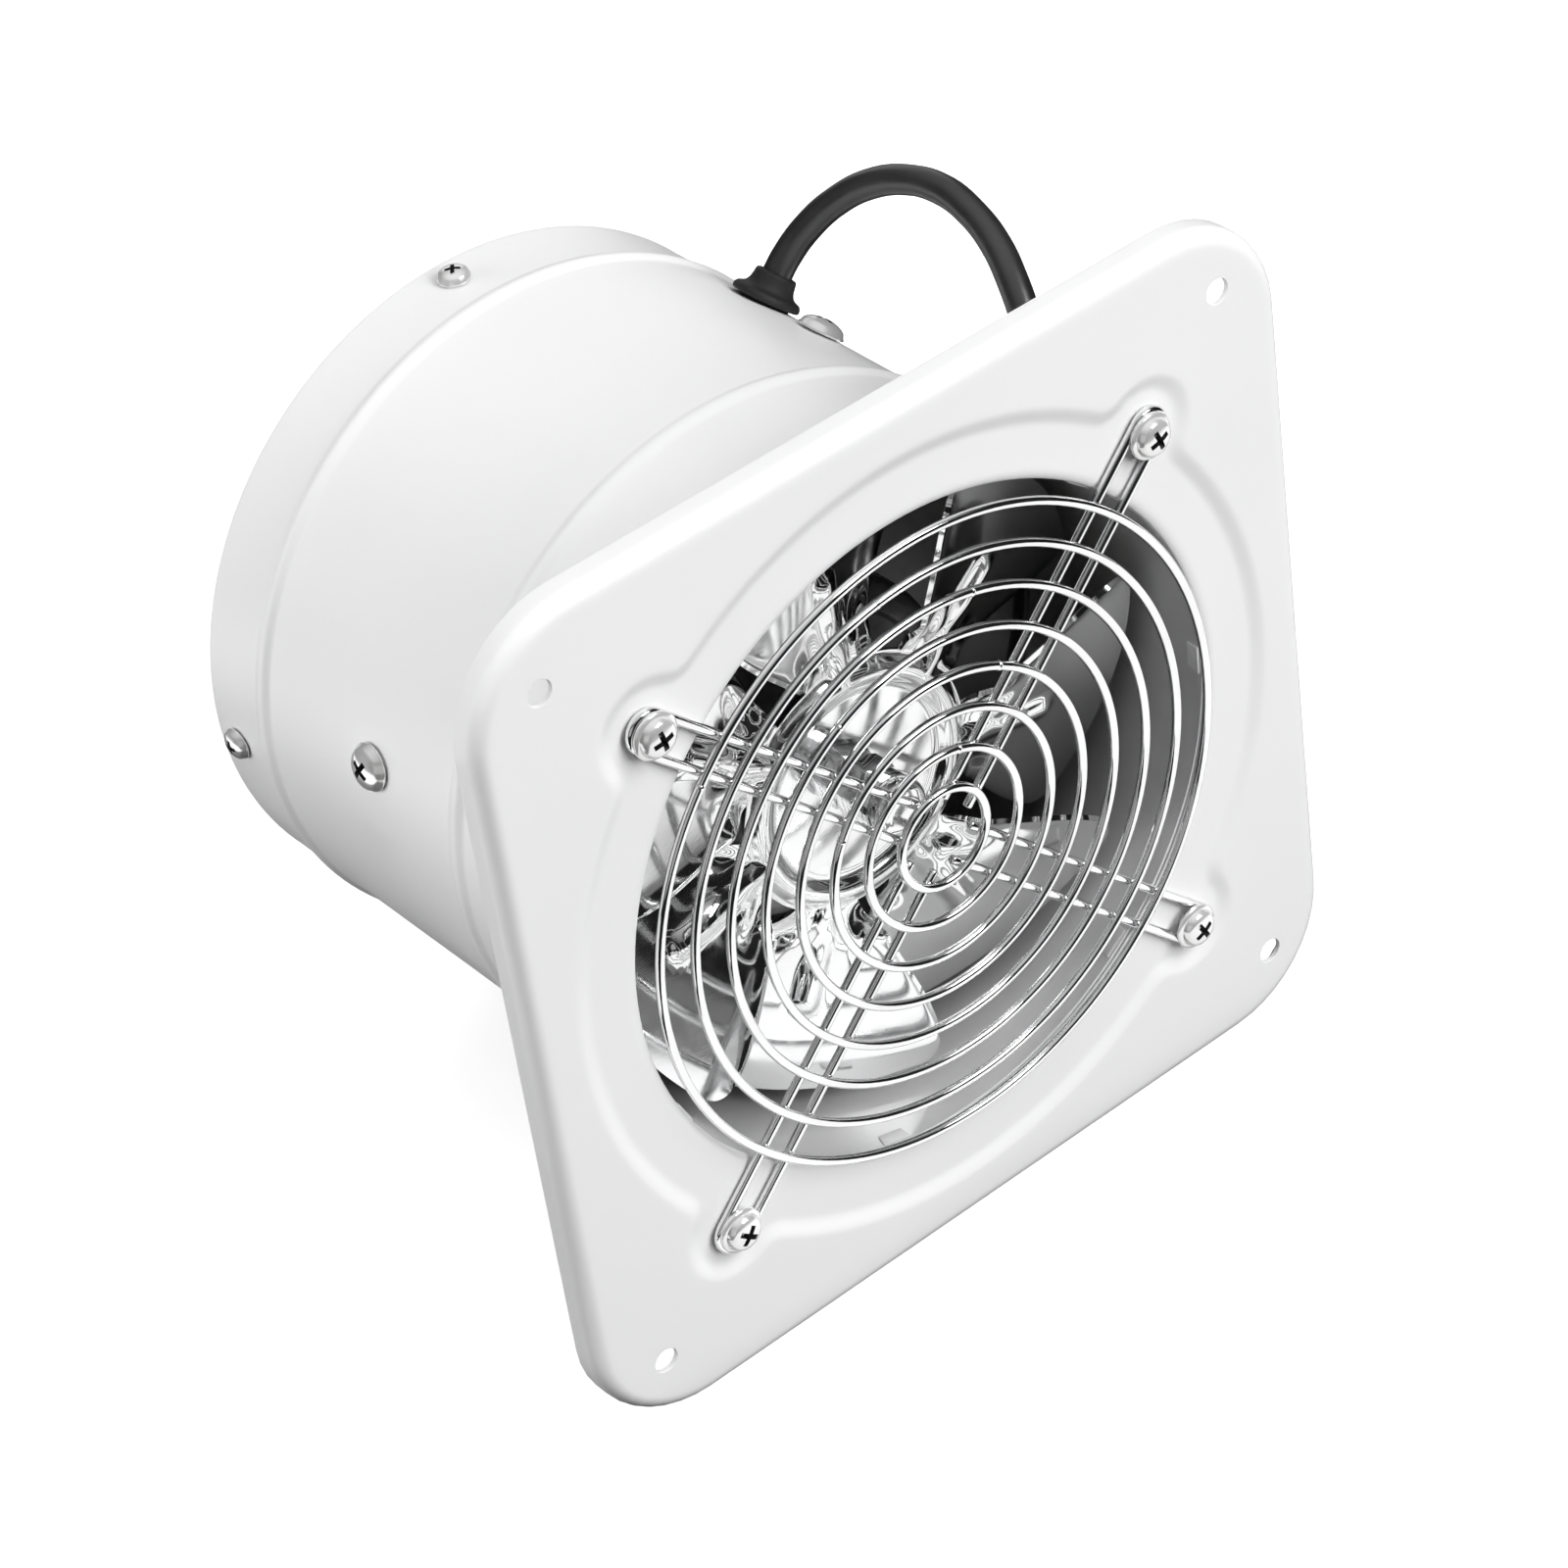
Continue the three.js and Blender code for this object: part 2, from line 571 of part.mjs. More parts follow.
// A bell-shaped motor cover: open towards the stator, with a bearing seat in its end wall.
function motorCover(end, rim) {
  const inside = Math.sign(rim - end);
  const wall = end + inside * MOTOR_WALL;
  return drilled(lathe([
    [BEARING_SEAT, end], [MOTOR_RADIUS - 3, end], [MOTOR_RADIUS, end + 3 * inside],
    [MOTOR_RADIUS, rim], [MOTOR_RADIUS - 1.8, rim], [MOTOR_RADIUS - 1.8, wall],
    [BEARING_RADIUS + 3, wall], [BEARING_RADIUS + 3, end + 7 * inside], [BEARING_SEAT, end + 7 * inside],
  ], 24));
}

add('motor_front_cover', motorCover(MOTOR_FRONT, STATOR_FRONT), CAST_ALUMINIUM);
add('motor_rear_cover', motorCover(MOTOR_REAR, STATOR_REAR), CAST_ALUMINIUM);
const bearing = (front) => tubeSection(SHAFT_BORE, BEARING_RADIUS, front, front + BEARING_LENGTH, 14);
add('front_bearing', bearing(MOTOR_FRONT + 0.4), BRONZE);
add('rear_bearing', bearing(MOTOR_REAR - 0.4 - BEARING_LENGTH), BRONZE);

const bracketFront = MOTOR_REAR + GAP;
const bracketBack = bracketFront + BRACKET_SHEET;
BOLT_ANGLES.forEach((angle, i) => {
  const seat = boltAt(angle).setY(MOTOR_FRONT - 0.2);
  const length = bracketBack - MOTOR_FRONT + 4;
  add(`motor_bolt_${i + 1}`, aim(screw(3.2, 2.2, 1.7, length), seat, forward), ZINC);
  const behind = boltAt(angle).setY(bracketBack + 0.2);
  add(`motor_nut_${i + 1}`, aim(toGeometry(nut(6, 2, 2.6)), behind, new THREE.Vector3(0, 1, 0)), ZINC);
});

function motorBracket() {
  const half = BRACKET_ARM_WIDTH / 2;
  const ring = tubeSection(BRACKET_RING_BORE, MOTOR_RADIUS - 1, bracketFront, bracketBack, 30);
  const arm = block(MOTOR_RADIUS - 6, FOOT_FACE, bracketFront, bracketBack, -half, half);
  const foot = block(
    FOOT_FACE - BRACKET_SHEET, FOOT_FACE, BRACKET_SCREW_Y - 8, bracketBack, 1 - half, half - 1);
  const start = new THREE.Vector3(FOOT_FACE - 8, BRACKET_SCREW_Y, 0);
  const hole = aim(rod(BRACKET_HOLE_RADIUS, 0, 14, 10), start, outward);
  const leg = toGeometry(toSolid(arm).add(cut(toSolid(foot), [hole])));
  return cut(join([ring, ...BRACKET_ANGLES.map((angle) => spun(leg, angle))]), boltHoles);
}

add('motor_bracket', motorBracket(), ZINC);

// ---- cable entry ----
const cableOut = aroundDuct(CABLE_ANGLE);
const onCableLine = (radius) => cableOut.clone().multiplyScalar(radius).setY(CABLE_Y);
const grommet = lathe([
  [CABLE_RADIUS + GAP, -4], [7, -4], [7, -1.6], [5.4, -1.6], [5.4, 0.6], [7.6, 0.6], [7.4, 2.2], [5.2, 3],
  [4.4, 5], [CABLE_RADIUS + GAP, 5],
], 14);
add('cable_grommet', aim(grommet, onCableLine(DUCT_RADIUS), cableOut), RUBBER);

// The lead inside the duct, from the grommet to the motor's rear cover.
const LEAD_RADIUS = 1.8;
const LEAD_ANGLE = CABLE_ANGLE - 38;  // where the lead meets the motor
const leadStart = onCableLine(DUCT_RADIUS - 4.5);
const leadReach = MOTOR_RADIUS + LEAD_RADIUS + 0.45;
const leadEnd = aroundDuct(LEAD_ANGLE).multiplyScalar(leadReach).setY(MOTOR_REAR - 7);
const leadRoute = new THREE.CubicBezierCurve3(
  leadStart,
  onCableLine(DUCT_RADIUS - 26),
  leadEnd.clone().multiplyScalar(1.35).setY(CABLE_Y + 6),
  leadEnd,
);
add('inner_lead', sweep(leadRoute, LEAD_RADIUS, 6, 10), CABLE_JACKET);

// ---- supply cable ----
// Free route: straight out of the grommet, over in an arch, down behind the flange and into the coil.
const CABLE_ROUTE = [
  [53.6, 96, 59.5], [57.5, 95.7, 63.8], [62.8, 93.4, 69.7], [67.5, 89.2, 74.9], [71.4, 83, 79.3],
  [74.3, 74, 82.5], [75.3, 64, 83.6], [74.3, 54, 82.5], [72, 44.5, 79.9], [68.6, 36, 75.9],
  [65.4, 28, 68.5], [64.6, 21.5, 58.5], [67.5, 17.5, 47], [73.5, 16.5, 34], [80, 17, 20],
  [86, 18.5, 5], [91, 20, -13], [93.6, 21.2, -32], [94.3, 21.6, -48], [94.1, 22.6, -63],
  [93.7, 26.8, -75.4], [92.8, 36, -84.8],
];
// The tail leaves the coil's lower turns for the plug.
const TAIL_ROUTE = [
  [60.9, 111.7, -95.2], [56.8, 115.8, -94.7], [51.9, 119.4, -94], [45.4, 122.1, -93.3],
  [38.4, 123, -93],
];

function route(points) {
  return new THREE.CatmullRomCurve3(points.map((point) => new THREE.Vector3(...point)), false, 'centripetal');
}

add('power_cord', sweep(route(CABLE_ROUTE), CABLE_RADIUS, 8, 32), CABLE_JACKET);
add('power_cord_tail', sweep(route(TAIL_ROUTE), CABLE_RADIUS, 8, 4), CABLE_JACKET);

const coilInner = COIL_RADIUS - COIL_HALF_WIDTH;
const coilOuter = COIL_RADIUS + COIL_HALF_WIDTH;
const overCoil = (geometry) => geometry.translate(COIL_CENTRE[0], COIL_CENTRE[1], 0);
const coil = lathe([
  [coilInner, COIL_BOTTOM + 2], [coilInner + 2, COIL_BOTTOM], [coilOuter - 2, COIL_BOTTOM],
  [coilOuter, COIL_BOTTOM + 2], [coilOuter, COIL_TOP - 2], [coilOuter - 2, COIL_TOP],
  [coilInner + 2, COIL_TOP], [coilInner, COIL_TOP - 2],
], 28);
add('cord_coil', overCoil(coil.rotateX(Math.PI / 2)), CABLE_JACKET);

// A band round the coil's bundle.
function coilTie(angle) {
  const halfWidth = 2;
  const inside = [coilInner - GAP, coilOuter + GAP, COIL_BOTTOM - GAP, COIL_TOP + GAP];
  const [x0, x1, z0, z1] = inside;
  const outer = block(
    x0 - TIE_SHEET, x1 + TIE_SHEET, -halfWidth, halfWidth, z0 - TIE_SHEET, z1 + TIE_SHEET);
  const band = cut(toSolid(outer), [block(x0, x1, -2 * halfWidth, 2 * halfWidth, z0, z1)]);
  return overCoil(toGeometry(band).rotateZ(radians(angle)));
}

add('cord_tie', coilTie(TIE_ANGLE), RUBBER);

// Slim two-pin plug lying flat, its pins pointing along -X.
const plugBack = PLUG_ENTRY[0] - PLUG_LENGTH;
const plugMiddle = SURFACE + PLUG_HEIGHT / 2;
const pinSides = [-PIN_SPACING / 2, PIN_SPACING / 2];
const pinRadius = 2;
const pinSocket = 5;

function plugBody() {
  const [x1, y] = PLUG_ENTRY;
  const corner = 6;
  const halfNeck = 5.5;
  const halfWidth = 17;
  const shoulder = x1 - 15;
  const outline = new THREE.Shape();
  outline.moveTo(x1, y - halfNeck);
  outline.lineTo(x1, y + halfNeck);
  outline.lineTo(shoulder, y + halfWidth);
  outline.absarc(plugBack + corner, y + halfWidth - corner, corner, Math.PI / 2, Math.PI, false);
  outline.absarc(plugBack + corner, y - halfWidth + corner, corner, Math.PI, 1.5 * Math.PI, false);
  outline.lineTo(shoulder, y - halfWidth);
  const thickness = { depth: PLUG_HEIGHT, bevelEnabled: false, curveSegments: 4 };
  const body = new THREE.ExtrudeGeometry(outline, thickness);
  const sockets = pinSides.map((side) => {
    const start = new THREE.Vector3(plugBack - 1, y + side, plugMiddle);
    return aim(rod(pinRadius + GAP, 0, pinSocket + 1, 12), start, outward);
  });
  return cut(toSolid(body.translate(0, 0, SURFACE)), sockets);
}

add('plug_body', plugBody(), RUBBER);
pinSides.forEach((side, i) => {
  const start = new THREE.Vector3(plugBack + pinSocket - GAP, PLUG_ENTRY[1] + side, plugMiddle);
  const pin = rod(pinRadius, 0, pinSocket - GAP + PIN_LENGTH, 10);
  add(`plug_pin_${i + 1}`, aim(pin, start, new THREE.Vector3(-1, 0, 0)), ZINC);
});

export default fan;
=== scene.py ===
"""Looks for the inline duct fan: detailed pieces, finishes, the spare cable, a plain studio and the camera.

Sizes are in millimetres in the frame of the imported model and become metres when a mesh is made. The duct
axis is Y, air enters at the flange, which faces -Y, and +Z is up. Angles run from +X towards +Z.
"""

import math

import bmesh
import bpy
from mathutils import Matrix, Vector


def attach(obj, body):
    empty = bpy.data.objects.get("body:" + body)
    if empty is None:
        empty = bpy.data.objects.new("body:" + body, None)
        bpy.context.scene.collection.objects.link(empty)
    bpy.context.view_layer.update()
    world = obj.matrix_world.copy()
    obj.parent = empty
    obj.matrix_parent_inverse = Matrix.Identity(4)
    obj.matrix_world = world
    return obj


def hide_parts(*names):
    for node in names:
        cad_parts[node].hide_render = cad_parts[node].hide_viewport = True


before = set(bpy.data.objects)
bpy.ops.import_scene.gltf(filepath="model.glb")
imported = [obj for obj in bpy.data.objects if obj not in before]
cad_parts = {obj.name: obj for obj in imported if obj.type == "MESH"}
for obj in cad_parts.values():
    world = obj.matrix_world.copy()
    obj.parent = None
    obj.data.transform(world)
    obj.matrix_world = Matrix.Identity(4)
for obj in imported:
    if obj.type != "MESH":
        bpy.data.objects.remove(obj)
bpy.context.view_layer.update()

MM = 0.001
TAU = 2 * math.pi
SHARP_ANGLE = 35
MERGE_REACH = 1e-5

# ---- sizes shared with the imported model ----
DIAGONALS = (45, 135, 225, 315)
FLANGE_SIDE = 200
FLANGE_CORNER = 26
FLANGE_BEND = 3.5
FLANGE_SHEET = 1.2
FLANGE_FRONT = -7
RECESS_FLOOR = -5.9
RECESS_RADIUS = 87.7
LOBE_RADIUS = 10.4
LOBE_FILLET = 6
GUARD_SCREW_REACH = 88.2
FIXING_REACH = 84 * math.sqrt(2)
WIRE_RADIUS = 1.0
DUCT_RADIUS = 75
DUCT_BORE = 74.1
DUCT_END = 136
BEADS = (50.5, 116.5)
BRACKET_ANGLES = (47.6, 167.6, 287.6)
BRACKET_SCREW_Y = 78.5
REAR_ANGLES = (2, 92, 182, 272)
REAR_SCREW_Y = 128.5
FOOT_FACE = 73.5
SCREW_CLEARANCE = 2.3
CABLE_ANGLE = 48
CABLE_Y = 96
CABLE_RADIUS = 3.25
BOLT_ANGLES = (107.6, 227.6, 347.6)
BOLT_CIRCLE = 33
SURFACE = -100


# ---- meshes ----
class Shape:
    """Points in millimetres, and faces that carry a material number."""

    def __init__(self):
        self.points = []
        self.faces = []
        self.marks = []

    def grid(self, rows, wrap=False, loop=False, mark=0):
        """Quads between rows. wrap closes each row, and loop joins the last row to the first."""
        start = len(self.points)
        width = len(rows[0])
        for row in rows:
            self.points.extend(Vector(point) for point in row)
        for j in range(len(rows) if loop else len(rows) - 1):
            near = start + j * width
            far = start + (j + 1) % len(rows) * width
            for i in range(width if wrap else width - 1):
                k = (i + 1) % width
                self.faces.append((near + i, near + k, far + k, far + i))
                self.marks.append(mark)
        return self

    def cap(self, row):
        start = len(self.points)
        self.points.extend(Vector(point) for point in row)
        self.faces.append(tuple(range(start, start + len(row))))
        self.marks.append(0)
        return self

    def tube(self, rows):
        """A closed form: quads round it between rows, and a face at both ends."""
        return self.grid(rows, wrap=True).cap(rows[0]).cap(rows[-1])

    def add(self, other, matrix=None):
        """Another shape's faces, moved by a matrix."""
        matrix = matrix or Matrix.Identity(4)
        start = len(self.points)
        self.points.extend(matrix @ point for point in other.points)
        self.faces.extend(tuple(start + i for i in face) for face in other.faces)
        self.marks.extend(other.marks)
        return self


def circle(radius, count, y=0.0):
    angles = [TAU * i / count for i in range(count)]
    return [Vector((radius * math.cos(a), y, radius * math.sin(a))) for a in angles]


def curved_corner(start, corner, end, steps):
    """Points on a curve from start to end that is drawn towards a corner."""
    points = []
    for i in range(steps + 1):
        t = i / steps
        points.append(start * (1 - t) ** 2 + corner * 2 * t * (1 - t) + end * t ** 2)
    return points


def softened(outline, size):
    """A closed outline with each corner that is off the axis rounded."""
    longest_share = 0.45
    points = [Vector(point) for point in outline]
    result = []
    for i, corner in enumerate(points):
        before = points[i - 1] - corner
        after = points[(i + 1) % len(points)] - corner
        if corner.x < 1e-6:
            result.append(corner)
            continue
        reach = min(size, longest_share * before.length, longest_share * after.length)
        start = corner + before.normalized() * reach
        end = corner + after.normalized() * reach
        result += curved_corner(start, corner, end, 3)
    return result


def lathe(outline, segments, soft=0.0, mark=0):
    """A closed outline of (radius, y) points turned about Y."""
    points = softened(outline, soft) if soft else [Vector(point) for point in outline]
    rows = [circle(point.x, segments, point.y) for point in points]
    return Shape().grid(rows, wrap=True, loop=True, mark=mark)


def rod(radius, low, high, sides, soft=0.0, mark=0):
    """A solid cylinder along Y."""
    return lathe(((0, low), (radius, low), (radius, high), (0, high)), sides, soft, mark)


def prism(outline, z0, z1):
    """A closed outline of (x, y) points pushed out along Z."""
    low = [Vector((x, y, z0)) for x, y in outline]
    high = [Vector((x, y, z1)) for x, y in outline]
    return Shape().tube([low, high])


def tube_rows(path, radius, sides, closed=False):
    """Rings of points round a path, turned as little as possible from one to the next."""
    last = len(path) - 1
    rows = []
    normal = None
    for i, point in enumerate(path):
        before = path[i - 1] if i or closed else point
        after = path[(i + 1) % len(path)] if i < last or closed else point
        along = (after - before).normalized()
        if normal is None:
            helper = Vector((0, 1, 0)) if abs(along.y) < 0.9 else Vector((1, 0, 0))
            normal = along.cross(helper)
        normal = (normal - along * normal.dot(along)).normalized()
        side = along.cross(normal)
        size = radius(i / last) if callable(radius) else radius
        angles = [TAU * k / sides for k in range(sides)]
        rows.append([point + size * (math.cos(a) * normal + math.sin(a) * side) for a in angles])
    return rows


def wire(path, radius, sides=12):
    """A length of round wire whose cut ends have a small chamfer."""
    chamfer = 0.25
    rows = tube_rows(path, radius, sides)
    for end, inward in ((0, path[1] - path[0]), (-1, path[-2] - path[-1])):
        ring = rows[end]
        centre = path[end]
        step = inward.normalized() * radius * chamfer
        rim = [centre + (point - centre) * (1 - chamfer) for point in ring]
        rows[end] = [point + step for point in ring]
        rows.insert(0 if end == 0 else len(rows), rim)
    return Shape().tube(rows)


def to_mesh(shape, name, sharp=SHARP_ANGLE, merge=MERGE_REACH):
    """A smooth-shaded mesh in metres, with points that coincide joined."""
    mesh = bpy.data.meshes.new(name)
    mesh.from_pydata([point * MM for point in shape.points], [], shape.faces)
    mesh.polygons.foreach_set("material_index", shape.marks)
    edit = bmesh.new()
    edit.from_mesh(mesh)
    bmesh.ops.remove_doubles(edit, verts=edit.verts, dist=merge)
    bmesh.ops.dissolve_degenerate(edit, dist=merge / 10, edges=edit.edges)
    bmesh.ops.recalc_face_normals(edit, faces=edit.faces)
    edit.to_mesh(mesh)
    edit.free()
    shade(mesh, sharp)
    return mesh


def shade(mesh, sharp=SHARP_ANGLE):
    """Smooth shading, broken where faces meet at more than an angle."""
    mesh.polygons.foreach_set("use_smooth", [True] * len(mesh.polygons))
    mesh.set_sharp_from_angle(angle=math.radians(sharp))
    mesh.update()


def new_object(name, data):
    result = bpy.data.objects.new(name, data)
    bpy.context.scene.collection.objects.link(result)
    return result


def made(name, shape, sharp=SHARP_ANGLE):
    """An object with a mesh of the same name."""
    return new_object(name, to_mesh(shape, name, sharp))


def apply_modifiers(piece, sharp=SHARP_ANGLE):
    bpy.context.view_layer.update()
    graph = bpy.context.evaluated_depsgraph_get()
    mesh = bpy.data.meshes.new_from_object(piece.evaluated_get(graph))
    piece.modifiers.clear()
    piece.data = mesh
    shade(mesh, sharp)


def modify(piece, kind, **settings):
    modifier = piece.modifiers.new(kind, kind)
    for name, value in settings.items():
        setattr(modifier, name, value)


def cut(piece, tool, sharp=SHARP_ANGLE, operation="DIFFERENCE"):
    """Takes a closed shape away from a piece, or keeps what lies inside it."""
    cutter = made("cutter", tool)
    modify(piece, "BOOLEAN", object=cutter, operation=operation, solver="EXACT")
    apply_modifiers(piece, sharp)
    bpy.data.objects.remove(cutter)


def bevelled(piece, width, segments=2, sharp=SHARP_ANGLE):
    """Rounds a piece's edges."""
    limit = math.radians(40)
    modify(piece, "BEVEL", width=width * MM, segments=segments, limit_method="ANGLE", angle_limit=limit)
    apply_modifiers(piece, sharp)


def dress(piece, finishes):
    """Fills a piece's material slots in the order of its face marks."""
    slots = piece.data.materials
    for i, finish in enumerate(finishes):
        if i < len(slots):
            slots[i] = FINISHES[finish]
        else:
            slots.append(FINISHES[finish])


def ready(piece, slot, stands_for=(), body="housing", finishes=None):
    """Gives a finished piece its materials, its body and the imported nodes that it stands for."""
    dress(piece, finishes or [slot])
    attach(piece, body)
    if stands_for:
        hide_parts(*stands_for)
    return piece


def turned(angle):
    """A turn round the duct axis that takes +X to an angle measured from +X towards +Z."""
    return Matrix.Rotation(-math.radians(angle), 4, "Y")


def around(angle):
    """The direction away from the duct axis at an angle."""
    return Vector((math.cos(math.radians(angle)), 0, math.sin(math.radians(angle))))


def spot(angle, radius, y):
    """A point at an angle, a distance from the duct axis and a place along it."""
    return around(angle) * radius + Vector((0, y, 0))


def aimed(point, direction):
    """Turns +Y to a direction and moves the origin to a point, both in millimetres."""
    turn = Vector((0, 1, 0)).rotation_difference(Vector(direction)).to_matrix().to_4x4()
    return Matrix.Translation(Vector(point)) @ turn


def drills(angles, y, radius, start=DUCT_BORE - 5, length=12, sides=32):
    """Rods that point away from the duct axis, to cut round holes with."""
    shape = Shape()
    for angle in angles:
        shape.add(rod(radius, 0, length, sides), aimed(spot(angle, start, y), around(angle)))
    return shape


def smooth(t):
    """Runs softly from 0 to 1 while t does."""
    t = max(0.0, min(1.0, t))
    return t * t * (3 - 2 * t)


# ---- finishes ----
class Nodes:
    """A material's node tree, with short calls for the patterns that the finishes use."""

    def __init__(self, name):
        self.material = bpy.data.materials.new(name)
        self.material.use_nodes = True
        self.tree = self.material.node_tree
        self.shader = self.tree.nodes["Principled BSDF"]
        self.place = self.add("ShaderNodeTexCoord").outputs["Object"]

    def add(self, kind, inputs=None, **settings):
        """A new node. Each of its inputs is linked to a source, or set to a value."""
        node = self.tree.nodes.new(kind)
        for key, value in settings.items():
            setattr(node, key, value)
        for name, value in (inputs or {}).items():
            if isinstance(value, bpy.types.NodeSocket):
                self.tree.links.new(value, node.inputs[name])
            else:
                node.inputs[name].default_value = value
        return node

    def feed(self, name, source):
        """Links a source to one of the shader's inputs."""
        self.tree.links.new(source, self.shader.inputs[name])

    def constant(self, values):
        for name, value in values.items():
            self.shader.inputs[name].default_value = value
        return self

    def noise(self, scale, detail=3.0, stretch=None):
        place = self.place
        if stretch:
            place = self.add("ShaderNodeMapping", {"Vector": place, "Scale": stretch}).outputs["Vector"]
        inputs = {"Vector": place, "Scale": scale, "Detail": detail}
        return self.add("ShaderNodeTexNoise", inputs).outputs["Fac"]

    def bands(self, scale, distortion=0.0):
        """Bands across the piece's Y axis."""
        inputs = {"Vector": self.place, "Scale": scale, "Distortion": distortion}
        return self.add("ShaderNodeTexWave", inputs, bands_direction="Y").outputs["Fac"]

    def ranged(self, source, start, end, low, high):
        """A value that runs from low to high while the source runs from start to end."""
        inputs = {"Value": source, "From Min": start, "From Max": end, "To Min": low, "To Max": high}
        return self.add("ShaderNodeMapRange", inputs).outputs["Result"]

    def spread(self, source, low, high):
        """A pattern's middle range widened to run from low to high."""
        return self.ranged(source, 0.3, 0.7, low, high)

    def along_y(self):
        """The place along the piece's own Y axis, in metres."""
        return self.add("ShaderNodeSeparateXYZ", {"Vector": self.place}).outputs["Y"]

    def product(self, first, second):
        return self.add("ShaderNodeMath", {0: first, 1: second}, operation="MULTIPLY").outputs[0]

    def colours(self, source, first, second):
        mix = self.add("ShaderNodeMix", {"Factor": source}, data_type="RGBA")
        ends = [socket for socket in mix.inputs if socket.type == "RGBA"]
        ends[0].default_value = (*first, 1)
        ends[1].default_value = (*second, 1)
        self.feed("Base Color", next(socket for socket in mix.outputs if socket.type == "RGBA"))

    def bump(self, source, depth, before=None):
        """Relief of a depth in millimetres, on top of an earlier bump."""
        inputs = {"Height": source, "Distance": depth * MM}
        if before:
            inputs["Normal"] = before
        normal = self.add("ShaderNodeBump", inputs).outputs["Normal"]
        self.feed("Normal", normal)
        return normal


def grey(value):
    return (value, value, value)


# The finishes that plain_finish makes: the shader's constants, then the colour and the roughness, each with
# its noise and the two ends that it runs between, then the relief, with the noise and depth of each layer. A
# noise is given by its scale, its detail and its stretch.
PLAIN_FINISHES = {
    # Smooth powder coat with a faint orange peel.
    "white_paint": (
        {"Specular IOR Level": 0.5, "IOR": 1.5}, ((14,), (0.87, 0.872, 0.875), grey(0.9)),
        ((45,), 0.3, 0.38), (((420, 2), 0.012), ((1900, 2), 0.004)),
    ),
    # Bright plated wire with faint drawing marks and dull spots.
    "chrome_wire": (
        {"Metallic": 1.0}, ((60,), grey(0.82), (0.9, 0.905, 0.91)),
        ((260, 4), 0.05, 0.14), (((900, 3), 0.01),),
    ),
    # Stamped and polished sheet: mirror-like, slightly wavy, with fine hairlines.
    "polished_steel": (
        {"Metallic": 1.0}, ((35,), grey(0.8), (0.88, 0.885, 0.89)),
        ((180, 5), 0.04, 0.11), (((48, 1), 0.1), ((500, 4, (1, 1, 9)), 0.002)),
    ),
    # Nickel plate on a screw, soft enough to look pale where it reflects nothing.
    "plated_screw": (
        {"Metallic": 0.55}, ((90,), grey(0.86), (0.94, 0.94, 0.93)),
        ((260, 4), 0.1, 0.2), (((900, 3), 0.012),),
    ),
    # Painted shade: dull, near-black metal in the cross of a screw, standing in for the shade deep in the
    # recess.
    "painted_recess_shade": (
        {"Metallic": 0.7}, ((300, 4), grey(0.02), grey(0.06)),
        ((400, 4), 0.4, 0.6), (((1200, 3), 0.03),),
    ),
    # Die-cast skin, grainy and slightly stained.
    "cast_aluminium": (
        {"Metallic": 1.0}, ((70, 5), grey(0.42), grey(0.58)),
        ((160, 4), 0.38, 0.58), (((1100, 4), 0.05),),
    ),
    # Sintered bronze.
    "bronze": (
        {"Metallic": 1.0}, ((160, 4), (0.36, 0.22, 0.1), (0.5, 0.33, 0.16)),
        ((300, 4), 0.36, 0.55), (((1600, 3), 0.02),),
    ),
    # Black moulded rubber, dusty in the hollows.
    "rubber": (
        {"Specular IOR Level": 0.4}, ((90, 4), grey(0.012), grey(0.022)),
        ((180, 4), 0.5, 0.68), (((1500, 3), 0.02),),
    ),
    # Black PVC jacket with a soft sheen and a faint grain.
    "cable_jacket": (
        {"Specular IOR Level": 0.9}, ((60, 3), grey(0.016), grey(0.026)),
        ((240, 4), 0.28, 0.36), (((1300, 3), 0.02),),
    ),
    # Nickel plate with turning marks.
    "nickel_pin": (
        {"Metallic": 1.0}, ((120, 3), (0.62, 0.59, 0.53), (0.74, 0.71, 0.65)),
        ((400, 4, (6, 1, 1)), 0.16, 0.3), (((900, 3, (12, 1, 1)), 0.008),),
    ),
}


def plain_finish(name, constants, colour, rough, relief):
    """A finish whose colour, roughness and relief follow noise patterns."""
    nodes = Nodes(name).constant(constants)
    colour_noise, *colour_ends = colour
    nodes.colours(nodes.spread(nodes.noise(*colour_noise), 0, 1), *colour_ends)
    rough_noise, *rough_ends = rough
    nodes.feed("Roughness", nodes.spread(nodes.noise(*rough_noise), *rough_ends))
    before = None
    for noise, depth in relief:
        before = nodes.bump(nodes.noise(*noise), depth, before)
    return nodes.material


def satin_steel():
    """The duct's bare inner wall: rolling marks round it, and painted shade that darkens its colour deep
    inside and round the motor.
    """
    nodes = Nodes("satin_steel").constant({"Metallic": 0.3})
    depth = nodes.along_y()
    # Painted shade: the colour runs from pale at the lip to near black deep inside, then pales again at the
    # rear end, standing in for light falling off in the duct.
    front = nodes.ranged(depth, 0.006, 0.033, 0, 1)
    back = nodes.ranged(depth, 0.1, 0.132, 1, 0)
    painted_depth_shade = nodes.product(nodes.product(front, back), nodes.spread(nodes.noise(22), 0.92, 1))
    nodes.colours(painted_depth_shade, grey(0.84), grey(0.02))
    nodes.feed("Roughness", nodes.spread(nodes.noise(150, 4, (1, 10, 1)), 0.3, 0.4))
    nodes.bump(nodes.noise(260, 3, (1, 14, 1)), 0.01)
    return nodes.material


def zinc_steel():
    """Zinc plate with a cloudy grain."""
    nodes = Nodes("zinc_steel").constant({"Metallic": 1.0})
    cells = nodes.add("ShaderNodeTexVoronoi", {"Vector": nodes.place, "Scale": 240})
    nodes.colours(cells.outputs["Distance"], (0.6, 0.615, 0.63), (0.74, 0.745, 0.75))
    nodes.feed("Roughness", nodes.spread(nodes.noise(120, 4), 0.24, 0.42))
    nodes.bump(nodes.noise(800, 3), 0.012)
    return nodes.material


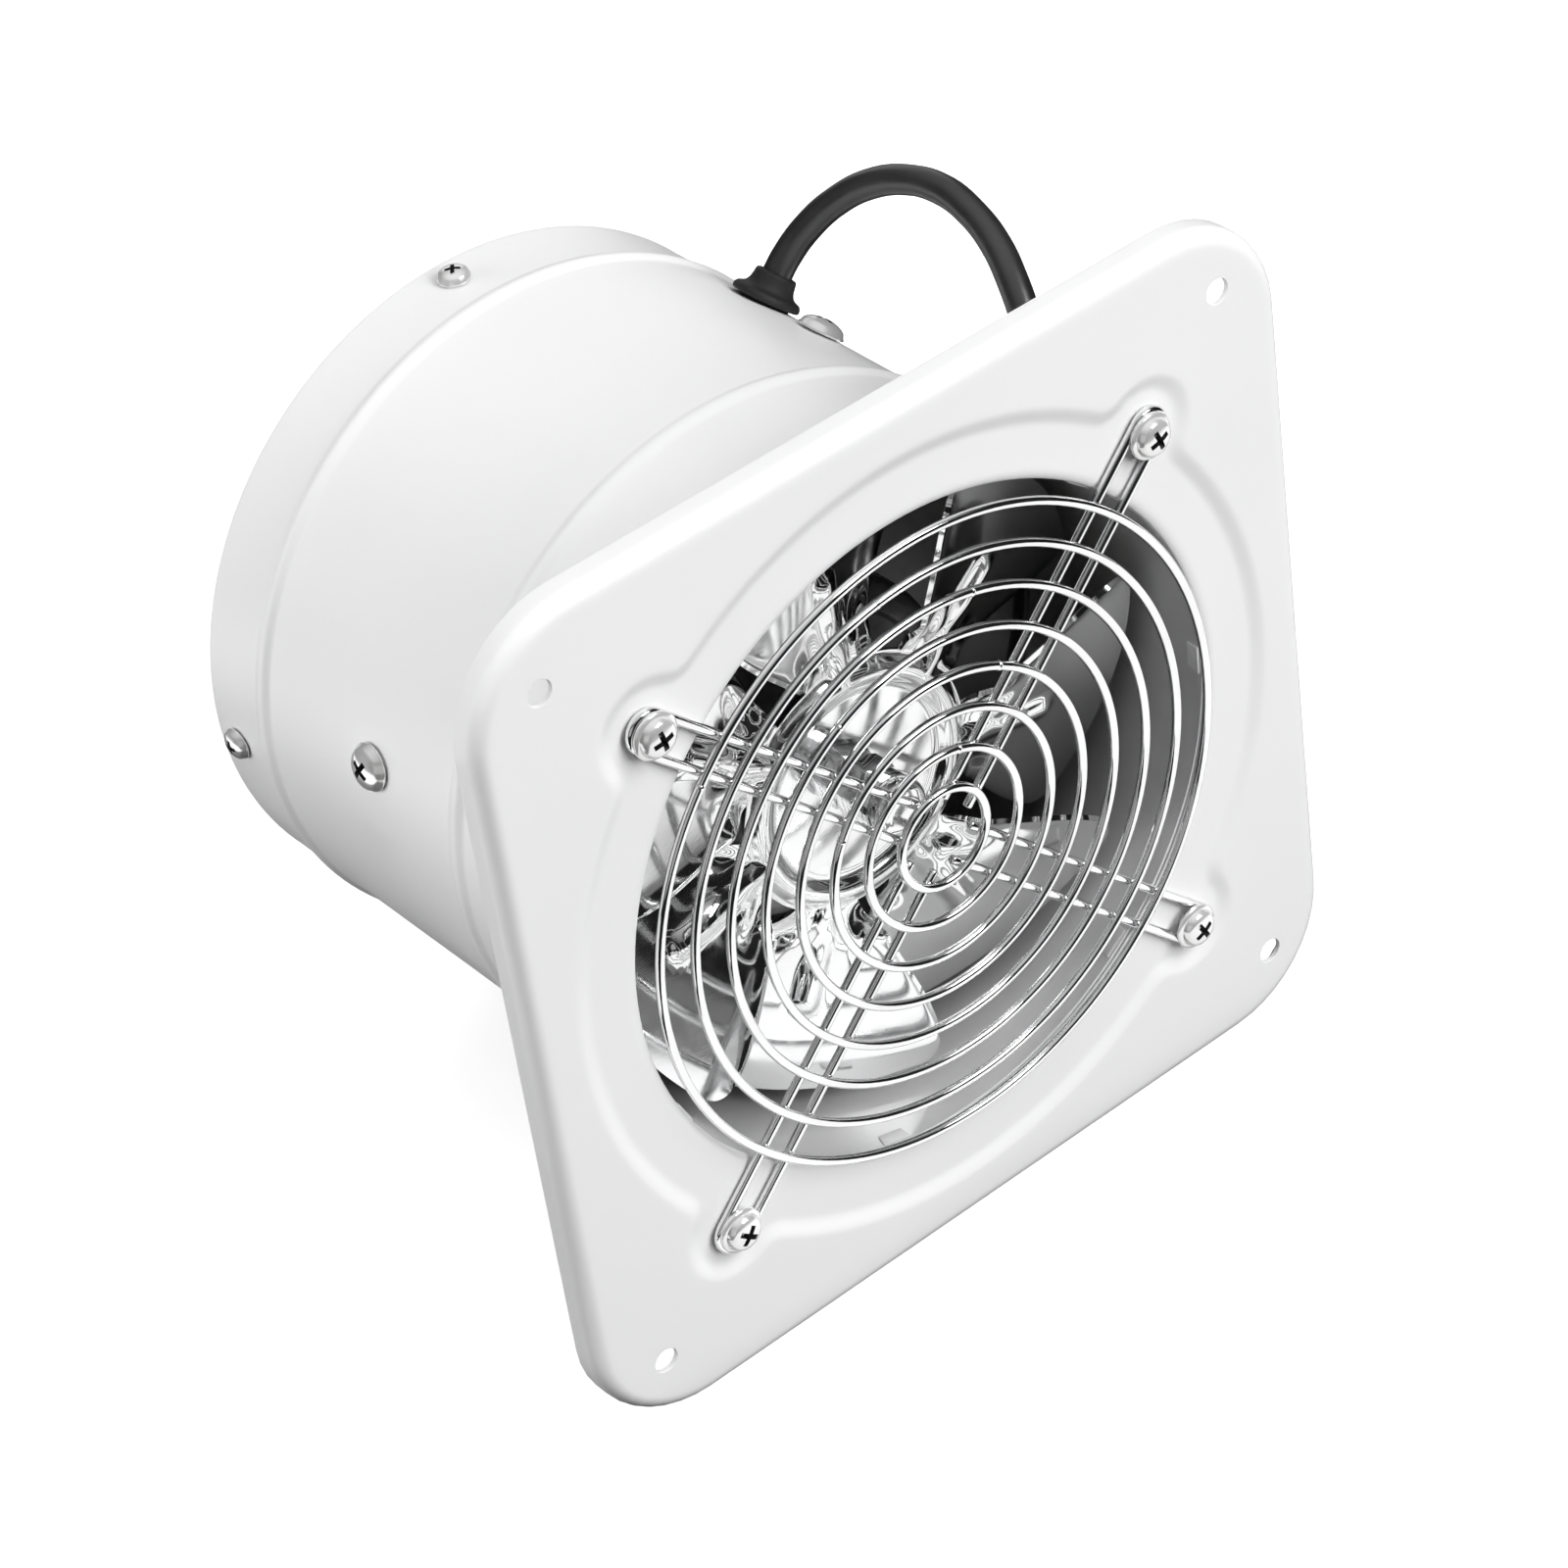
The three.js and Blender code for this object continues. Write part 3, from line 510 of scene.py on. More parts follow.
def lamination():
    """A stack of thin dark sheets."""
    nodes = Nodes("lamination").constant({"Metallic": 0.9})
    sheets = nodes.bands(628)
    nodes.colours(sheets, grey(0.1), grey(0.32))
    nodes.feed("Roughness", nodes.spread(nodes.noise(200), 0.35, 0.6))
    nodes.bump(sheets, 0.12)
    return nodes.material


def copper_winding():
    """Enamelled wire laid round and round."""
    nodes = Nodes("copper_winding").constant({"Metallic": 0.8})
    turns = nodes.bands(420, 2.5)
    nodes.colours(turns, (0.22, 0.065, 0.025), (0.52, 0.2, 0.08))
    nodes.feed("Roughness", nodes.spread(nodes.noise(90), 0.28, 0.45))
    nodes.bump(turns, 0.2)
    return nodes.material


FINISHES = {make.__name__: make() for make in (satin_steel, zinc_steel, lamination, copper_winding)}
FINISHES.update({name: plain_finish(name, *parts) for name, parts in PLAIN_FINISHES.items()})


# ---- spare cable ----
# Free route: straight out of the grommet, over in an arch and down behind the flange to the coil.
CABLE_ROUTE = (
    (53.6, 96, 59.5), (57.5, 95.7, 63.8), (62.8, 93.4, 69.7), (67.5, 89.2, 74.9), (71.4, 83, 79.3),
    (74.3, 74, 82.5), (75.3, 64, 83.6), (74.3, 54, 82.5), (72, 44.5, 79.9), (68.6, 36, 75.9),
    (65.4, 28, 68.5), (64.6, 21.5, 58.5), (67.5, 17.5, 47), (73.5, 16.5, 34), (80, 17, 20),
    (86, 18.5, 5), (91, 20, -13), (93.6, 21.2, -32), (94.3, 21.6, -48), (94.1, 22.6, -63),
    (93.7, 26.8, -75.4), (92.8, 36, -84.8), (92.2, 44, -88), (92.2, 52.6, -89.3),
)
TAIL_ROUTE = (
    (70, 102.6, -95.8), (60.9, 111.7, -95.2), (56.8, 115.8, -94.7), (51.9, 119.4, -94),
    (45.4, 122.1, -93.3), (38.4, 123, -93), (33, 123, -93),
)
COIL_CENTRE = (48, 62)
COIL_OUTER_LINE = 44.3
COIL_TURNS = 5.125
COIL_STEPS = 82
UPPER_LAYER = SURFACE + 10.65
LOWER_LAYER = SURFACE + 4.15
PLUG_X, PLUG_Y = 38, 123
PLUG_Z = SURFACE + 7
PLUG_FACE = PLUG_X - 35
PLUG_PINS = (-9.5, 9.5)


def coil_points():
    """Down through the upper layer to the middle, then out again through the lower layer."""
    points = []
    middle = COIL_TURNS / 2
    for i in range(COIL_STEPS + 1):
        turns = COIL_TURNS * i / COIL_STEPS
        radius = COIL_OUTER_LINE - 2 * CABLE_RADIUS * (middle - abs(turns - middle))
        drop = smooth((turns - middle) / 0.2 + 0.5)
        z = UPPER_LAYER + (LOWER_LAYER - UPPER_LAYER) * drop
        x = COIL_CENTRE[0] + radius * math.cos(TAU * turns)
        y = COIL_CENTRE[1] + radius * math.sin(TAU * turns)
        points.append((x, y, z))
    return points


def supply_cable():
    data = bpy.data.curves.new("supply_cable", "CURVE")
    data.dimensions = "3D"
    data.bevel_depth = CABLE_RADIUS * MM
    data.bevel_resolution = 5
    data.resolution_u = 6
    data.use_fill_caps = True
    points = [*CABLE_ROUTE, *coil_points(), *TAIL_ROUTE]
    spline = data.splines.new("BEZIER")
    spline.bezier_points.add(len(points) - 1)
    for knot, point in zip(spline.bezier_points, points):
        knot.co = Vector(point) * MM
        knot.handle_left_type = "AUTO"
        knot.handle_right_type = "AUTO"
    return new_object("supply_cable", data)


def rounded_section(half_width, half_height, corner, count=8):
    """A rounded rectangle of (across, up) points."""
    points = []
    for k, (sx, sy) in enumerate(((1, 1), (-1, 1), (-1, -1), (1, -1))):
        for i in range(count + 1):
            angle = math.radians(90 * k + 90 * i / count)
            across = sx * (half_width - corner) + corner * math.cos(angle)
            up = sy * (half_height - corner) + corner * math.sin(angle)
            points.append((across, up))
    return points


def cable_tie():
    """A flat band round the coil with a small buckle on top."""
    inner, outer = 24.1, 47.9
    low, high = SURFACE + 0.6, SURFACE + 14.2
    half_width = (outer - inner) / 2
    half_height = (high - low) / 2
    rows = []
    for grow, side in ((0, -2), (0.6, -2), (0.6, 2), (0, 2)):
        section = rounded_section(half_width + grow, half_height + grow, 3.4 + grow)
        rows.append([Vector((across, side, up)) for across, up in section])
    band = Shape().grid(rows, wrap=True, loop=True)
    buckle = prism(rounded_section(3.2, 3.0, 0.9, 4), -0.2, 1.9)
    band.add(buckle, Matrix.Translation((2, 0, half_height)))
    middle = Matrix.Translation(((inner + outer) / 2, 0, (low + high) / 2))
    at_coil = Matrix.Translation((*COIL_CENTRE, 0)) @ Matrix.Rotation(math.radians(200), 4, "Z")
    piece = made("coil_tie", Shape().add(band, at_coil @ middle))
    bevelled(piece, 0.15)
    return ready(piece, "rubber", ["cord_tie"])


# The plug's sections from its face to the cable: distance, half width, half height and corner.
PLUG_SECTIONS = (
    (35.0, 14.6, 5.0, 3.5), (34.6, 16.0, 6.2, 4.2), (33.4, 16.8, 6.9, 5), (31.0, 17.0, 7.0, 5.5),
    (24.0, 17.0, 7.0, 5.5), (21.5, 16.2, 6.9, 5.5), (19.5, 14.6, 6.7, 5.5), (17.0, 13.4, 6.5, 5.2),
    (14.5, 13.2, 6.4, 5.0), (11.5, 13.0, 6.3, 5.0), (8.0, 11.6, 6.1, 5.0), (5.0, 9.4, 5.9, 5.0),
    (2.5, 7.4, 5.6, 5.0), (0.0, 6.2, 5.2, 4.9),
)


def plug_body():
    """A slim moulded plug: a flat body that narrows to the cable, with finger grips."""
    rows = []
    for x, half_width, half_height, corner in PLUG_SECTIONS:
        section = rounded_section(half_width, half_height, corner)
        rows.append([Vector((PLUG_X - x, PLUG_Y + across, PLUG_Z + up)) for across, up in section])
    piece = made("moulded_plug", Shape().tube(rows), 50)
    hollows = Shape()
    for side in PLUG_PINS:
        hollows.add(rod(2.5, -1, 4.6, 20), aimed((PLUG_FACE, PLUG_Y + side, PLUG_Z), (1, 0, 0)))
    groove = prism(((-0.45, -7), (0.45, -7), (0.45, 7), (-0.45, 7)), -0.5, 0.5)
    for k in range(5):
        for level in (-1, 1):
            middle = (PLUG_X - 9 - 2.4 * k, PLUG_Y, PLUG_Z + level * (6.2 + 0.05 * k))
            hollows.add(groove, Matrix.Translation(middle))
    cut(piece, hollows, 40)
    return ready(piece, "rubber", ["plug_body"])


def plug_relief():
    """The tapered, ribbed sleeve where the cable enters the plug."""
    ribs = 7
    knots = [(37.5, 123, -93), (38.4, 123, -93), *reversed(TAIL_ROUTE[1:5])]
    path = []
    for a, b in zip(knots, knots[1:]):
        path.extend(Vector(a).lerp(Vector(b), k / 6) for k in range(6))

    def size(t):
        rib = 0.45 * smooth(2 * abs((t * ribs) % 1 - 0.5) * 1.6 - 0.3)
        return 5.1 - 1.35 * t - rib * (1 - t)

    return ready(made("plug_strain_relief", Shape().tube(tube_rows(path, size, 24)), 60), "rubber")


def plug_pin(number, side):
    """A round pin with a rubber sleeve at its root."""
    outline = ((0, -4.4), (2, -4.4), (2, 17.4), (1.3, 19), (0, 19))
    pin = lathe(outline, 24, 0.5).add(rod(2.35, -4, 8, 24, 0.3, 1))
    place = aimed((PLUG_FACE, PLUG_Y + side, PLUG_Z), (-1, 0, 0))
    piece = made(f"round_pin_{number}", Shape().add(pin, place))
    return ready(piece, "zinc_steel", [f"plug_pin_{number}"], finishes=("nickel_pin", "rubber"))


cable = ready(supply_cable(), "cable_jacket", ["power_cord", "power_cord_tail", "cord_coil"])
cable_pieces = [
    cable_tie(), plug_body(), plug_relief(),
    *(plug_pin(i + 1, side) for i, side in enumerate(PLUG_PINS)),
]


# ---- flange ----
def square_outline(inset, y):
    """The flange's rounded square, moved in by an inset."""
    half = FLANGE_SIDE / 2 - inset
    section = rounded_section(half, half, FLANGE_CORNER - inset, 10)
    return [Vector((x, y, z)) for x, z in section]


def arc(centre, radius, start, end, steps):
    """Points on an arc in X and Z, without its last one."""
    angles = [start + (end - start) * i / steps for i in range(steps)]
    return [(centre[0] + radius * math.cos(a), centre[1] + radius * math.sin(a)) for a in angles]


def recess_outline(grow, y):
    """A circle with a round lobe at each guard screw and a fillet on both sides of each lobe."""
    main = RECESS_RADIUS + LOBE_FILLET
    side = LOBE_RADIUS + LOBE_FILLET
    reach = GUARD_SCREW_REACH
    meet = math.acos((reach ** 2 + main ** 2 - side ** 2) / (2 * reach * main))
    lobe_turn = math.pi - math.acos((reach ** 2 + side ** 2 - main ** 2) / (2 * reach * side))
    points = []

    def fillet(middle, sign, start, end):
        centre = (main * math.cos(middle + sign * meet), main * math.sin(middle + sign * meet))
        return arc(centre, LOBE_FILLET - grow, start, end, 8)

    for diagonal in DIAGONALS:
        middle = math.radians(diagonal)
        centre = (reach * math.cos(middle), reach * math.sin(middle))
        points += arc((0, 0), RECESS_RADIUS + grow, middle - math.pi / 2 + meet, middle - meet, 30)
        points += fillet(middle, -1, middle - meet + math.pi, middle - lobe_turn + math.pi)
        points += arc(centre, LOBE_RADIUS + grow, middle - lobe_turn, middle + lobe_turn, 20)
        points += fillet(middle, 1, middle + lobe_turn - math.pi, middle + meet - math.pi)
    return [Vector((x, y, z)) for x, z in points]


def filled(shape, loops):
    """A flat face between closed outlines, added to a shape."""
    edit = bmesh.new()
    for loop in loops:
        corners = [edit.verts.new(point) for point in loop]
        for a, b in zip(corners, corners[1:] + corners[:1]):
            edit.edges.new((a, b))
    bmesh.ops.triangle_fill(edit, edges=edit.edges, use_beauty=True, use_dissolve=False)
    edit.verts.index_update()
    start = len(shape.points)
    shape.points.extend(corner.co.copy() for corner in edit.verts)
    for face in edit.faces:
        shape.faces.append(tuple(start + corner.index for corner in face.verts))
        shape.marks.append(0)
    edit.free()


def screw_holes(reach, radius, y):
    """Round outlines at the four diagonals."""
    return [[point + around(angle) * reach for point in circle(radius, 24, y)] for angle in DIAGONALS]


def flange_plate():
    """A pressed plate with a rolled edge, a shallow recess with four lobes and a turned-in opening."""
    opening_sides = 144
    bend_steps = 8
    step_half = 2.2
    step_margin = step_half + 0.6
    shape = Shape()
    edge = [(0, 0), (0, -1.2), (0, FLANGE_FRONT + FLANGE_BEND)]
    for i in range(1, bend_steps + 1):
        angle = math.pi / 2 * i / bend_steps
        inset = FLANGE_BEND * (1 - math.cos(angle))
        edge.append((inset, FLANGE_FRONT + FLANGE_BEND * (1 - math.sin(angle))))
    edge.append((FLANGE_BEND + 1, FLANGE_FRONT))
    shape.grid([square_outline(inset, y) for inset, y in edge], wrap=True)
    step = [(-step_half + 2 * step_half * i / bend_steps) for i in range(bend_steps + 1)]
    rows = [recess_outline(step_margin, FLANGE_FRONT)]
    for grow in reversed(step):
        sunk = smooth((step_half - grow) / (2 * step_half))
        rows.append(recess_outline(grow, FLANGE_FRONT + (RECESS_FLOOR - FLANGE_FRONT) * sunk))
    rows.append(recess_outline(-step_margin, RECESS_FLOOR))
    shape.grid(rows, wrap=True)
    lip = [(77.4, -5.9), (76.6, -5.9), (75.9, -5.84), (75.2, -5.66), (74.6, -5.36), (74.2, -4.95)]
    shape.grid([circle(radius, opening_sides, y) for radius, y in lip], wrap=True)
    fixing_holes = screw_holes(FIXING_REACH, 2.75, FLANGE_FRONT)
    filled(shape, [square_outline(*edge[-1]), rows[0], *fixing_holes])
    guard_holes = screw_holes(GUARD_SCREW_REACH, SCREW_CLEARANCE, RECESS_FLOOR)
    filled(shape, [rows[-1], circle(lip[0][0], opening_sides, RECESS_FLOOR), *guard_holes])
    mesh = to_mesh(shape, "pressed_flange", 50)
    if max(mesh.polygons, key=lambda face: face.area).normal.y > 0:
        mesh.flip_normals()
    piece = new_object("pressed_flange", mesh)
    modify(piece, "SOLIDIFY", thickness=FLANGE_SHEET * MM, offset=-1, use_even_offset=True)
    modify(piece, "BEVEL", width=0.2 * MM, segments=2, angle_limit=math.radians(60))
    modify(piece, "WEIGHTED_NORMAL", keep_sharp=True)
    apply_modifiers(piece, 55)
    return ready(piece, "white_paint", ["flange_plate"])


# ---- duct ----
def bead_profile(y, radius):
    """The line of a rolled bead that stands out of a wall of a radius."""
    height, half_width, steps = 1.0, 3.0, 12
    points = []
    for i in range(steps + 1):
        t = 2 * i / steps - 1
        points.append((radius + height * (0.5 + 0.5 * math.cos(math.pi * t)), y + half_width * t))
    return points


DUCT_FINISHES = ("white_paint", "satin_steel")


def duct_tube():
    """The duct: painted outside, bare inside, with two rolled beads and a turned-out front edge."""
    segments = 160
    collar = [(82, -4.3), (82.1, -3.9), (82, -3.5), (77.6, -3.5), (76.6, -3.35), (75.75, -2.9)]
    outside = [*collar, (75.2, -2.1), (DUCT_RADIUS, -1), (DUCT_RADIUS, 20)]
    outside += [*bead_profile(BEADS[0], DUCT_RADIUS), (DUCT_RADIUS, 80)]
    outside += [*bead_profile(BEADS[1], DUCT_RADIUS), (DUCT_RADIUS, 134.6), (75.05, 135.3)]
    outside += [(74.95, 135.8), (74.7, DUCT_END), (74.4, DUCT_END), (74.15, 135.7)]
    inside = [outside[-1], (DUCT_BORE, 134.6), *reversed(bead_profile(BEADS[1], DUCT_BORE))]
    inside += [(DUCT_BORE, 80), *reversed(bead_profile(BEADS[0], DUCT_BORE)), (DUCT_BORE, 10)]
    inside += [(DUCT_BORE, -4.2)]
    front = [inside[-1], (DUCT_BORE + 0.35, -4.38), (76, -4.4), (81.7, -4.4), outside[0]]
    shape = Shape()
    for profile, mark in ((outside, 0), (inside, 1), (front, 0)):
        shape.grid([circle(radius, segments, y) for radius, y in profile], wrap=True, mark=mark)
    piece = made("rolled_duct", shape, 40)
    dress(piece, DUCT_FINISHES)
    holes = drills(BRACKET_ANGLES, BRACKET_SCREW_Y, 2.9)
    holes.add(drills(REAR_ANGLES, REAR_SCREW_Y, 2.4))
    holes.add(drills((CABLE_ANGLE,), CABLE_Y, 5.8))
    cut(piece, holes, 40)
    return ready(piece, "white_paint", ["duct_tube"], finishes=DUCT_FINISHES)


def rim_tabs():
    """Small clinched tabs that hold the flange to the duct, evenly round the opening."""
    count = 7
    first = -1.3
    shape = Shape()
    tab = prism(((-3.4, 0.6), (-2.4, 3.6), (3.4, 3.6), (3.4, 0.4)), 0, 0.45)
    lie = Matrix(((0, 0, -1, DUCT_BORE - 0.05), (0, 1, 0, -4.2), (1, 0, 0, 0), (0, 0, 0, 1)))
    for k in range(count):
        shape.add(tab, turned(first + 360 * k / count) @ lie)
    piece = made("rim_tabs", shape)
    bevelled(piece, 0.15)
    return ready(piece, "white_paint")


# ---- screws and nuts, built along +Y with the underside of the head at 0 ----
def screw_mesh(name, profile, shank_radius, length, recess):
    """A cross-head screw. profile is the head's outline from its middle to its rim."""
    pitch = 0.8
    thread_root = 0.87
    top = profile[0][1]
    outline = [*profile, (shank_radius, 0)]
    for k in range(int((length - 1) / pitch)):
        y = -0.6 - pitch * k
        outline += [(shank_radius, y), (shank_radius * thread_root, y - pitch / 2)]
    outline += [(shank_radius * 0.85, -length + 0.3), (shank_radius * 0.6, -length), (0, -length)]
    shape = Shape().grid([circle(radius, 36, y) for radius, y in outline], wrap=True)
    piece = made(name, shape, 42)
    cross = []
    for y, size in ((top + 0.6, 1.15), (top - 0.55 * recess, 0.72), (top - recess, 0.3)):
        arm = recess * 1.25 * size
        half = recess * 0.3 * (0.5 + 0.5 * size)
        ring = []
        for k in range(4):
            turn = Matrix.Rotation(TAU * k / 4, 4, "Y")
            ring += [turn @ Vector(p) for p in ((half, y, half), (arm, y, half), (arm, y, -half))]
        cross.append(ring)
    cut(piece, Shape().tube(cross), 42)
    mesh = piece.data
    widest, reach = recess * 0.32, recess * 1.4
    # Faces inside the cross take the second slot, whose near-black finish paints shade into the recess.
    for face in mesh.polygons:
        x, y, z = (v / MM for v in face.center)
        inside = min(abs(x), abs(z)) < widest and math.hypot(x, z) < reach
        face.material_index = int(inside and y > top - recess - 0.1 and face.normal.y < 0.9)
    bpy.data.objects.remove(piece)
    return mesh


def dome(radius, low, high, power):
    """A domed outline from the middle at height high to the radius at height low."""
    steps = 10
    points = []
    for i in range(steps + 1):
        t = i / steps
        points.append((radius * t, low + (high - low) * (1 - t ** power) ** (1 / power)))
    return points


def copies(prefix, mesh, places, slot, node, finishes=None):
    """One piece of the same mesh for each place and numbered node."""
    for i, place in enumerate(places):
        piece = new_object(f"{prefix}_{i + 1}", mesh.copy())
        metres = place.copy()
        metres.translation = place.translation * MM
        piece.matrix_world = metres
        ready(piece, slot, [f"{node}_{i + 1}"], finishes=finishes)


def radial_places(angles, y, radius, direction=1, spin=0.0):
    """Places round the duct that face away from its axis, or towards it."""
    return [
        aimed(spot(angle, radius, y), around(angle) * direction) @ Matrix.Rotation(spin + 0.7 * i, 4, "Y")
        for i, angle in enumerate(angles)
    ]


def axial_places(angles, reach, y, direction, spins):
    """Places round the duct axis that face along it."""
    return [
        aimed(spot(angle, reach, y), (0, direction, 0)) @ Matrix.Rotation(spin, 4, "Y")
        for angle, spin in zip(angles, spins)
    ]


def screws():
    """Four kinds of screw: name, head, shank radius, length, recess, node, places, slot and finish."""
    for name, head, shank, length, recess, node, places, slot, finish in (
        (
            "washer_head_screw",
            [*dome(4.1, 1.35, 3.1, 2.2), (4.25, 1.0), (4.9, 0.75), (5.1, 0.45), (5.1, 0.1), (5.0, 0)],
            2.0, 7.35, 2.0, "guard_screw",
            axial_places(DIAGONALS, GUARD_SCREW_REACH, -8.35, -1, (0.35, 0.2, 0.9, 0.5)),
            "chrome_wire", "plated_screw",
        ),
        (
            "truss_head_screw", [*dome(5.0, 0.5, 3.0, 2.0), (5.2, 0.35), (5.2, 0.1), (5.1, 0)],
            2.5, 8.6, 2.0, "bracket_screw",
            radial_places(BRACKET_ANGLES, BRACKET_SCREW_Y, DUCT_RADIUS + 0.35, spin=0.5),
            "chrome_wire", "plated_screw",
        ),
        (
            "pan_head_screw", [*dome(3.5, 0.5, 2.4, 2.1), (3.6, 0.35), (3.6, 0.1), (3.5, 0)],
            2.0, 7, 1.5, "rear_screw",
            radial_places(REAR_ANGLES, REAR_SCREW_Y, DUCT_RADIUS + 0.3, spin=0.2),
            "chrome_wire", "plated_screw",
        ),
        (
            "motor_screw", [*dome(3.1, 0.5, 2.2, 2.4), (3.2, 0.35), (3.2, 0.1), (3.1, 0)],
            1.7, 58.4, 1.3, "motor_bolt",
            axial_places(BOLT_ANGLES, BOLT_CIRCLE, 31.75, -1, (0, 0, 0)),
            "zinc_steel", "zinc_steel",
        ),
    ):
        mesh = screw_mesh(name, head, shank, length, recess)
        copies(name, mesh, places, slot, node, (finish, "painted_recess_shade"))


def nut_mesh(name, across_flats, bore, height):
    """A hexagon nut with its corners turned off."""
    reach = across_flats / math.sqrt(3)
    low, high = circle(reach, 6), circle(reach, 6, height)
    piece = made(name, Shape().tube([low, high]))
    chamfer = 0.078 * across_flats
    narrow, wide = 0.5 * across_flats - 1, 0.5 * across_flats + 0.1
    keep = lathe((
        (bore, -1), (narrow, -1), (wide, 0), (reach + 0.1, chamfer),
        (reach + 0.1, height - chamfer), (wide, height), (narrow, height + 1), (bore, height + 1),
    ), 48)
    cut(piece, keep, 30, "INTERSECT")
    bevelled(piece, 0.12, 1, 30)
    mesh = piece.data
    bpy.data.objects.remove(piece)
    return mesh


def nuts():
    """Four kinds of nut: name, node, places, width across flats, bore and height."""
    for name, node, places, across_flats, bore, height in (
        (
            "hex_nut_guard", "guard_nut",
            axial_places(DIAGONALS, GUARD_SCREW_REACH, -1.3, -1, (0.2, 0.6, 0.1, 0.9)), 7, 2.1, 3.1,
        ),
        (
            "hex_nut_bracket", "bracket_nut",
            radial_places(BRACKET_ANGLES, BRACKET_SCREW_Y, 71.7, -1), 8, 2.6, 4,
        ),
        (
            "hex_nut_rear", "rear_nut",
            radial_places(REAR_ANGLES, REAR_SCREW_Y, 72.0, -1), 7, 2.1, 3.1,
        ),
        (
            "hex_nut_motor", "motor_nut",
            axial_places(BOLT_ANGLES, BOLT_CIRCLE, 86.5, 1, (0.3, 0.8, 0.5)), 6, 1.8, 2.6,
        ),
    ):
        copies(name, nut_mesh(name, across_flats, bore, height), places, "zinc_steel", node)


# ---- wire guards ----
def wire_ring(radius, y, seam):
    """A ring bent from one wire, butt welded where its ends meet at the angle seam."""
    count = int(60 + radius * 1.4)
    rows = tube_rows(circle(radius, count, y), WIRE_RADIUS, 12, closed=True)
    weld = lathe(((0, -0.75), (0.9, -0.6), (1.17, 0), (0.9, 0.6), (0, 0.75)), 12, 0.15)
    place = Matrix.Translation((radius, y, 0)) @ Matrix.Rotation(math.pi / 2, 4, "X")
    return Shape().grid(rows, wrap=True, loop=True).add(weld, turned(seam) @ place)


def nugget():
    """The metal squeezed out where two wires are welded."""
    return lathe(((0, -0.5), (0.95, -0.3), (1.15, 0), (0.95, 0.3), (0, 0.5)), 10, 0.1)


def hairpin(start, bend, half_width, y):
    """Out along one side, round the screw and back along the other."""
    steps, turn_steps = 12, 24
    path = [Vector((start + (bend - start) * t / steps, y, half_width)) for t in range(steps)]
    for i in range(turn_steps + 1):
        angle = math.pi / 2 - math.pi * i / turn_steps
        path.append(Vector((bend + half_width * math.cos(angle), y, half_width * math.sin(angle))))
    path += [Vector((bend + (start - bend) * t / steps, y, -half_width)) for t in range(1, steps + 1)]
    return path


def front_guard():
    """Eight rings welded to four hairpin arms, each of which holds a screw in its bend."""
    arm_y, ring_y = -7.2, -8.8
    arm_half = 3.9
    inner, outer = 11, 71.3
    seams = (100, 72, 150, 60, 118, 75, 98, 140)
    radii = [inner + (outer - inner) * i / (len(seams) - 1) for i in range(len(seams))]
    shape = Shape()
    for radius, seam in zip(radii, seams):
        shape.add(wire_ring(radius, ring_y, seam))
    arm = wire(hairpin(7, GUARD_SCREW_REACH + 1, arm_half, arm_y), WIRE_RADIUS)
    weld = nugget()
    for angle in DIAGONALS:
        shape.add(arm, turned(angle))
        for radius in radii:
            for side in (-arm_half, arm_half):
                across = math.sqrt(radius ** 2 - side ** 2)
                crossing = Matrix.Translation((across, (arm_y + ring_y) / 2, side))
                shape.add(weld, turned(angle) @ crossing)
    return ready(made("wire_guard_front", shape, 50), "chrome_wire", ["front_guard"])


def angle_strip(path, sheet, half_width):
    """A bent strip of sheet. path is its outer line in (x, y), and the sheet lies on its left."""
    path = [Vector(point) for point in path]
    inner = []
    for i, point in enumerate(path):
        before = path[i - 1] if i else point
        after = path[i + 1] if i + 1 < len(path) else point
        along = (after - before).normalized()
        inner.append(point + Vector((-along.y, along.x)) * sheet)
    return prism([(p.x, p.y) for p in (*path, *reversed(inner))], -half_width, half_width)


def corner_path(start, corner, end, radius):
    """Two straight lines with a rounded corner between them."""
    start, corner, end = Vector(start), Vector(corner), Vector(end)
    a = corner + (start - corner).normalized() * radius
    b = corner + (end - corner).normalized() * radius
    return [start, *curved_corner(a, corner, b, 6), end]


def rear_guard():
    """Four rings on four arms, and a lug at the end of each arm for its screw."""
    ring_y, arm_y = 132.3, 134.2
    arm_start, arm_length, arm_steps = 10, 62.2, 8
    rings = ((15, 20), (32, 70), (49, 200), (66, 300))
    shape = Shape()
    for radius, seam in rings:
        shape.add(wire_ring(radius, ring_y, seam))
    line = [Vector((arm_start + arm_length * t / arm_steps, arm_y, 0)) for t in range(arm_steps + 1)]
    arm = wire(line, 1.2)
    weld = nugget()
    lug = angle_strip([(FOOT_FACE, y) for y in (123.5, 126, 131, 134.8)], 1.2, 4.5)
    lugs = Shape()
    for angle in REAR_ANGLES:
        shape.add(arm, turned(angle))
        for radius, _ in rings:
            crossing = Matrix.Translation((radius, (ring_y + arm_y) / 2, 0))
            shape.add(weld, turned(angle) @ crossing)
        lugs.add(lug, turned(angle))
    piece = made("wire_guard_rear", shape, 50)
    strips = made("rear_lugs", lugs)
    cut(strips, drills(REAR_ANGLES, REAR_SCREW_Y, SCREW_CLEARANCE, 67, 10, 24))
    bevelled(strips, 0.25)
    ready(strips, "chrome_wire")
    return ready(piece, "chrome_wire", ["rear_guard"])


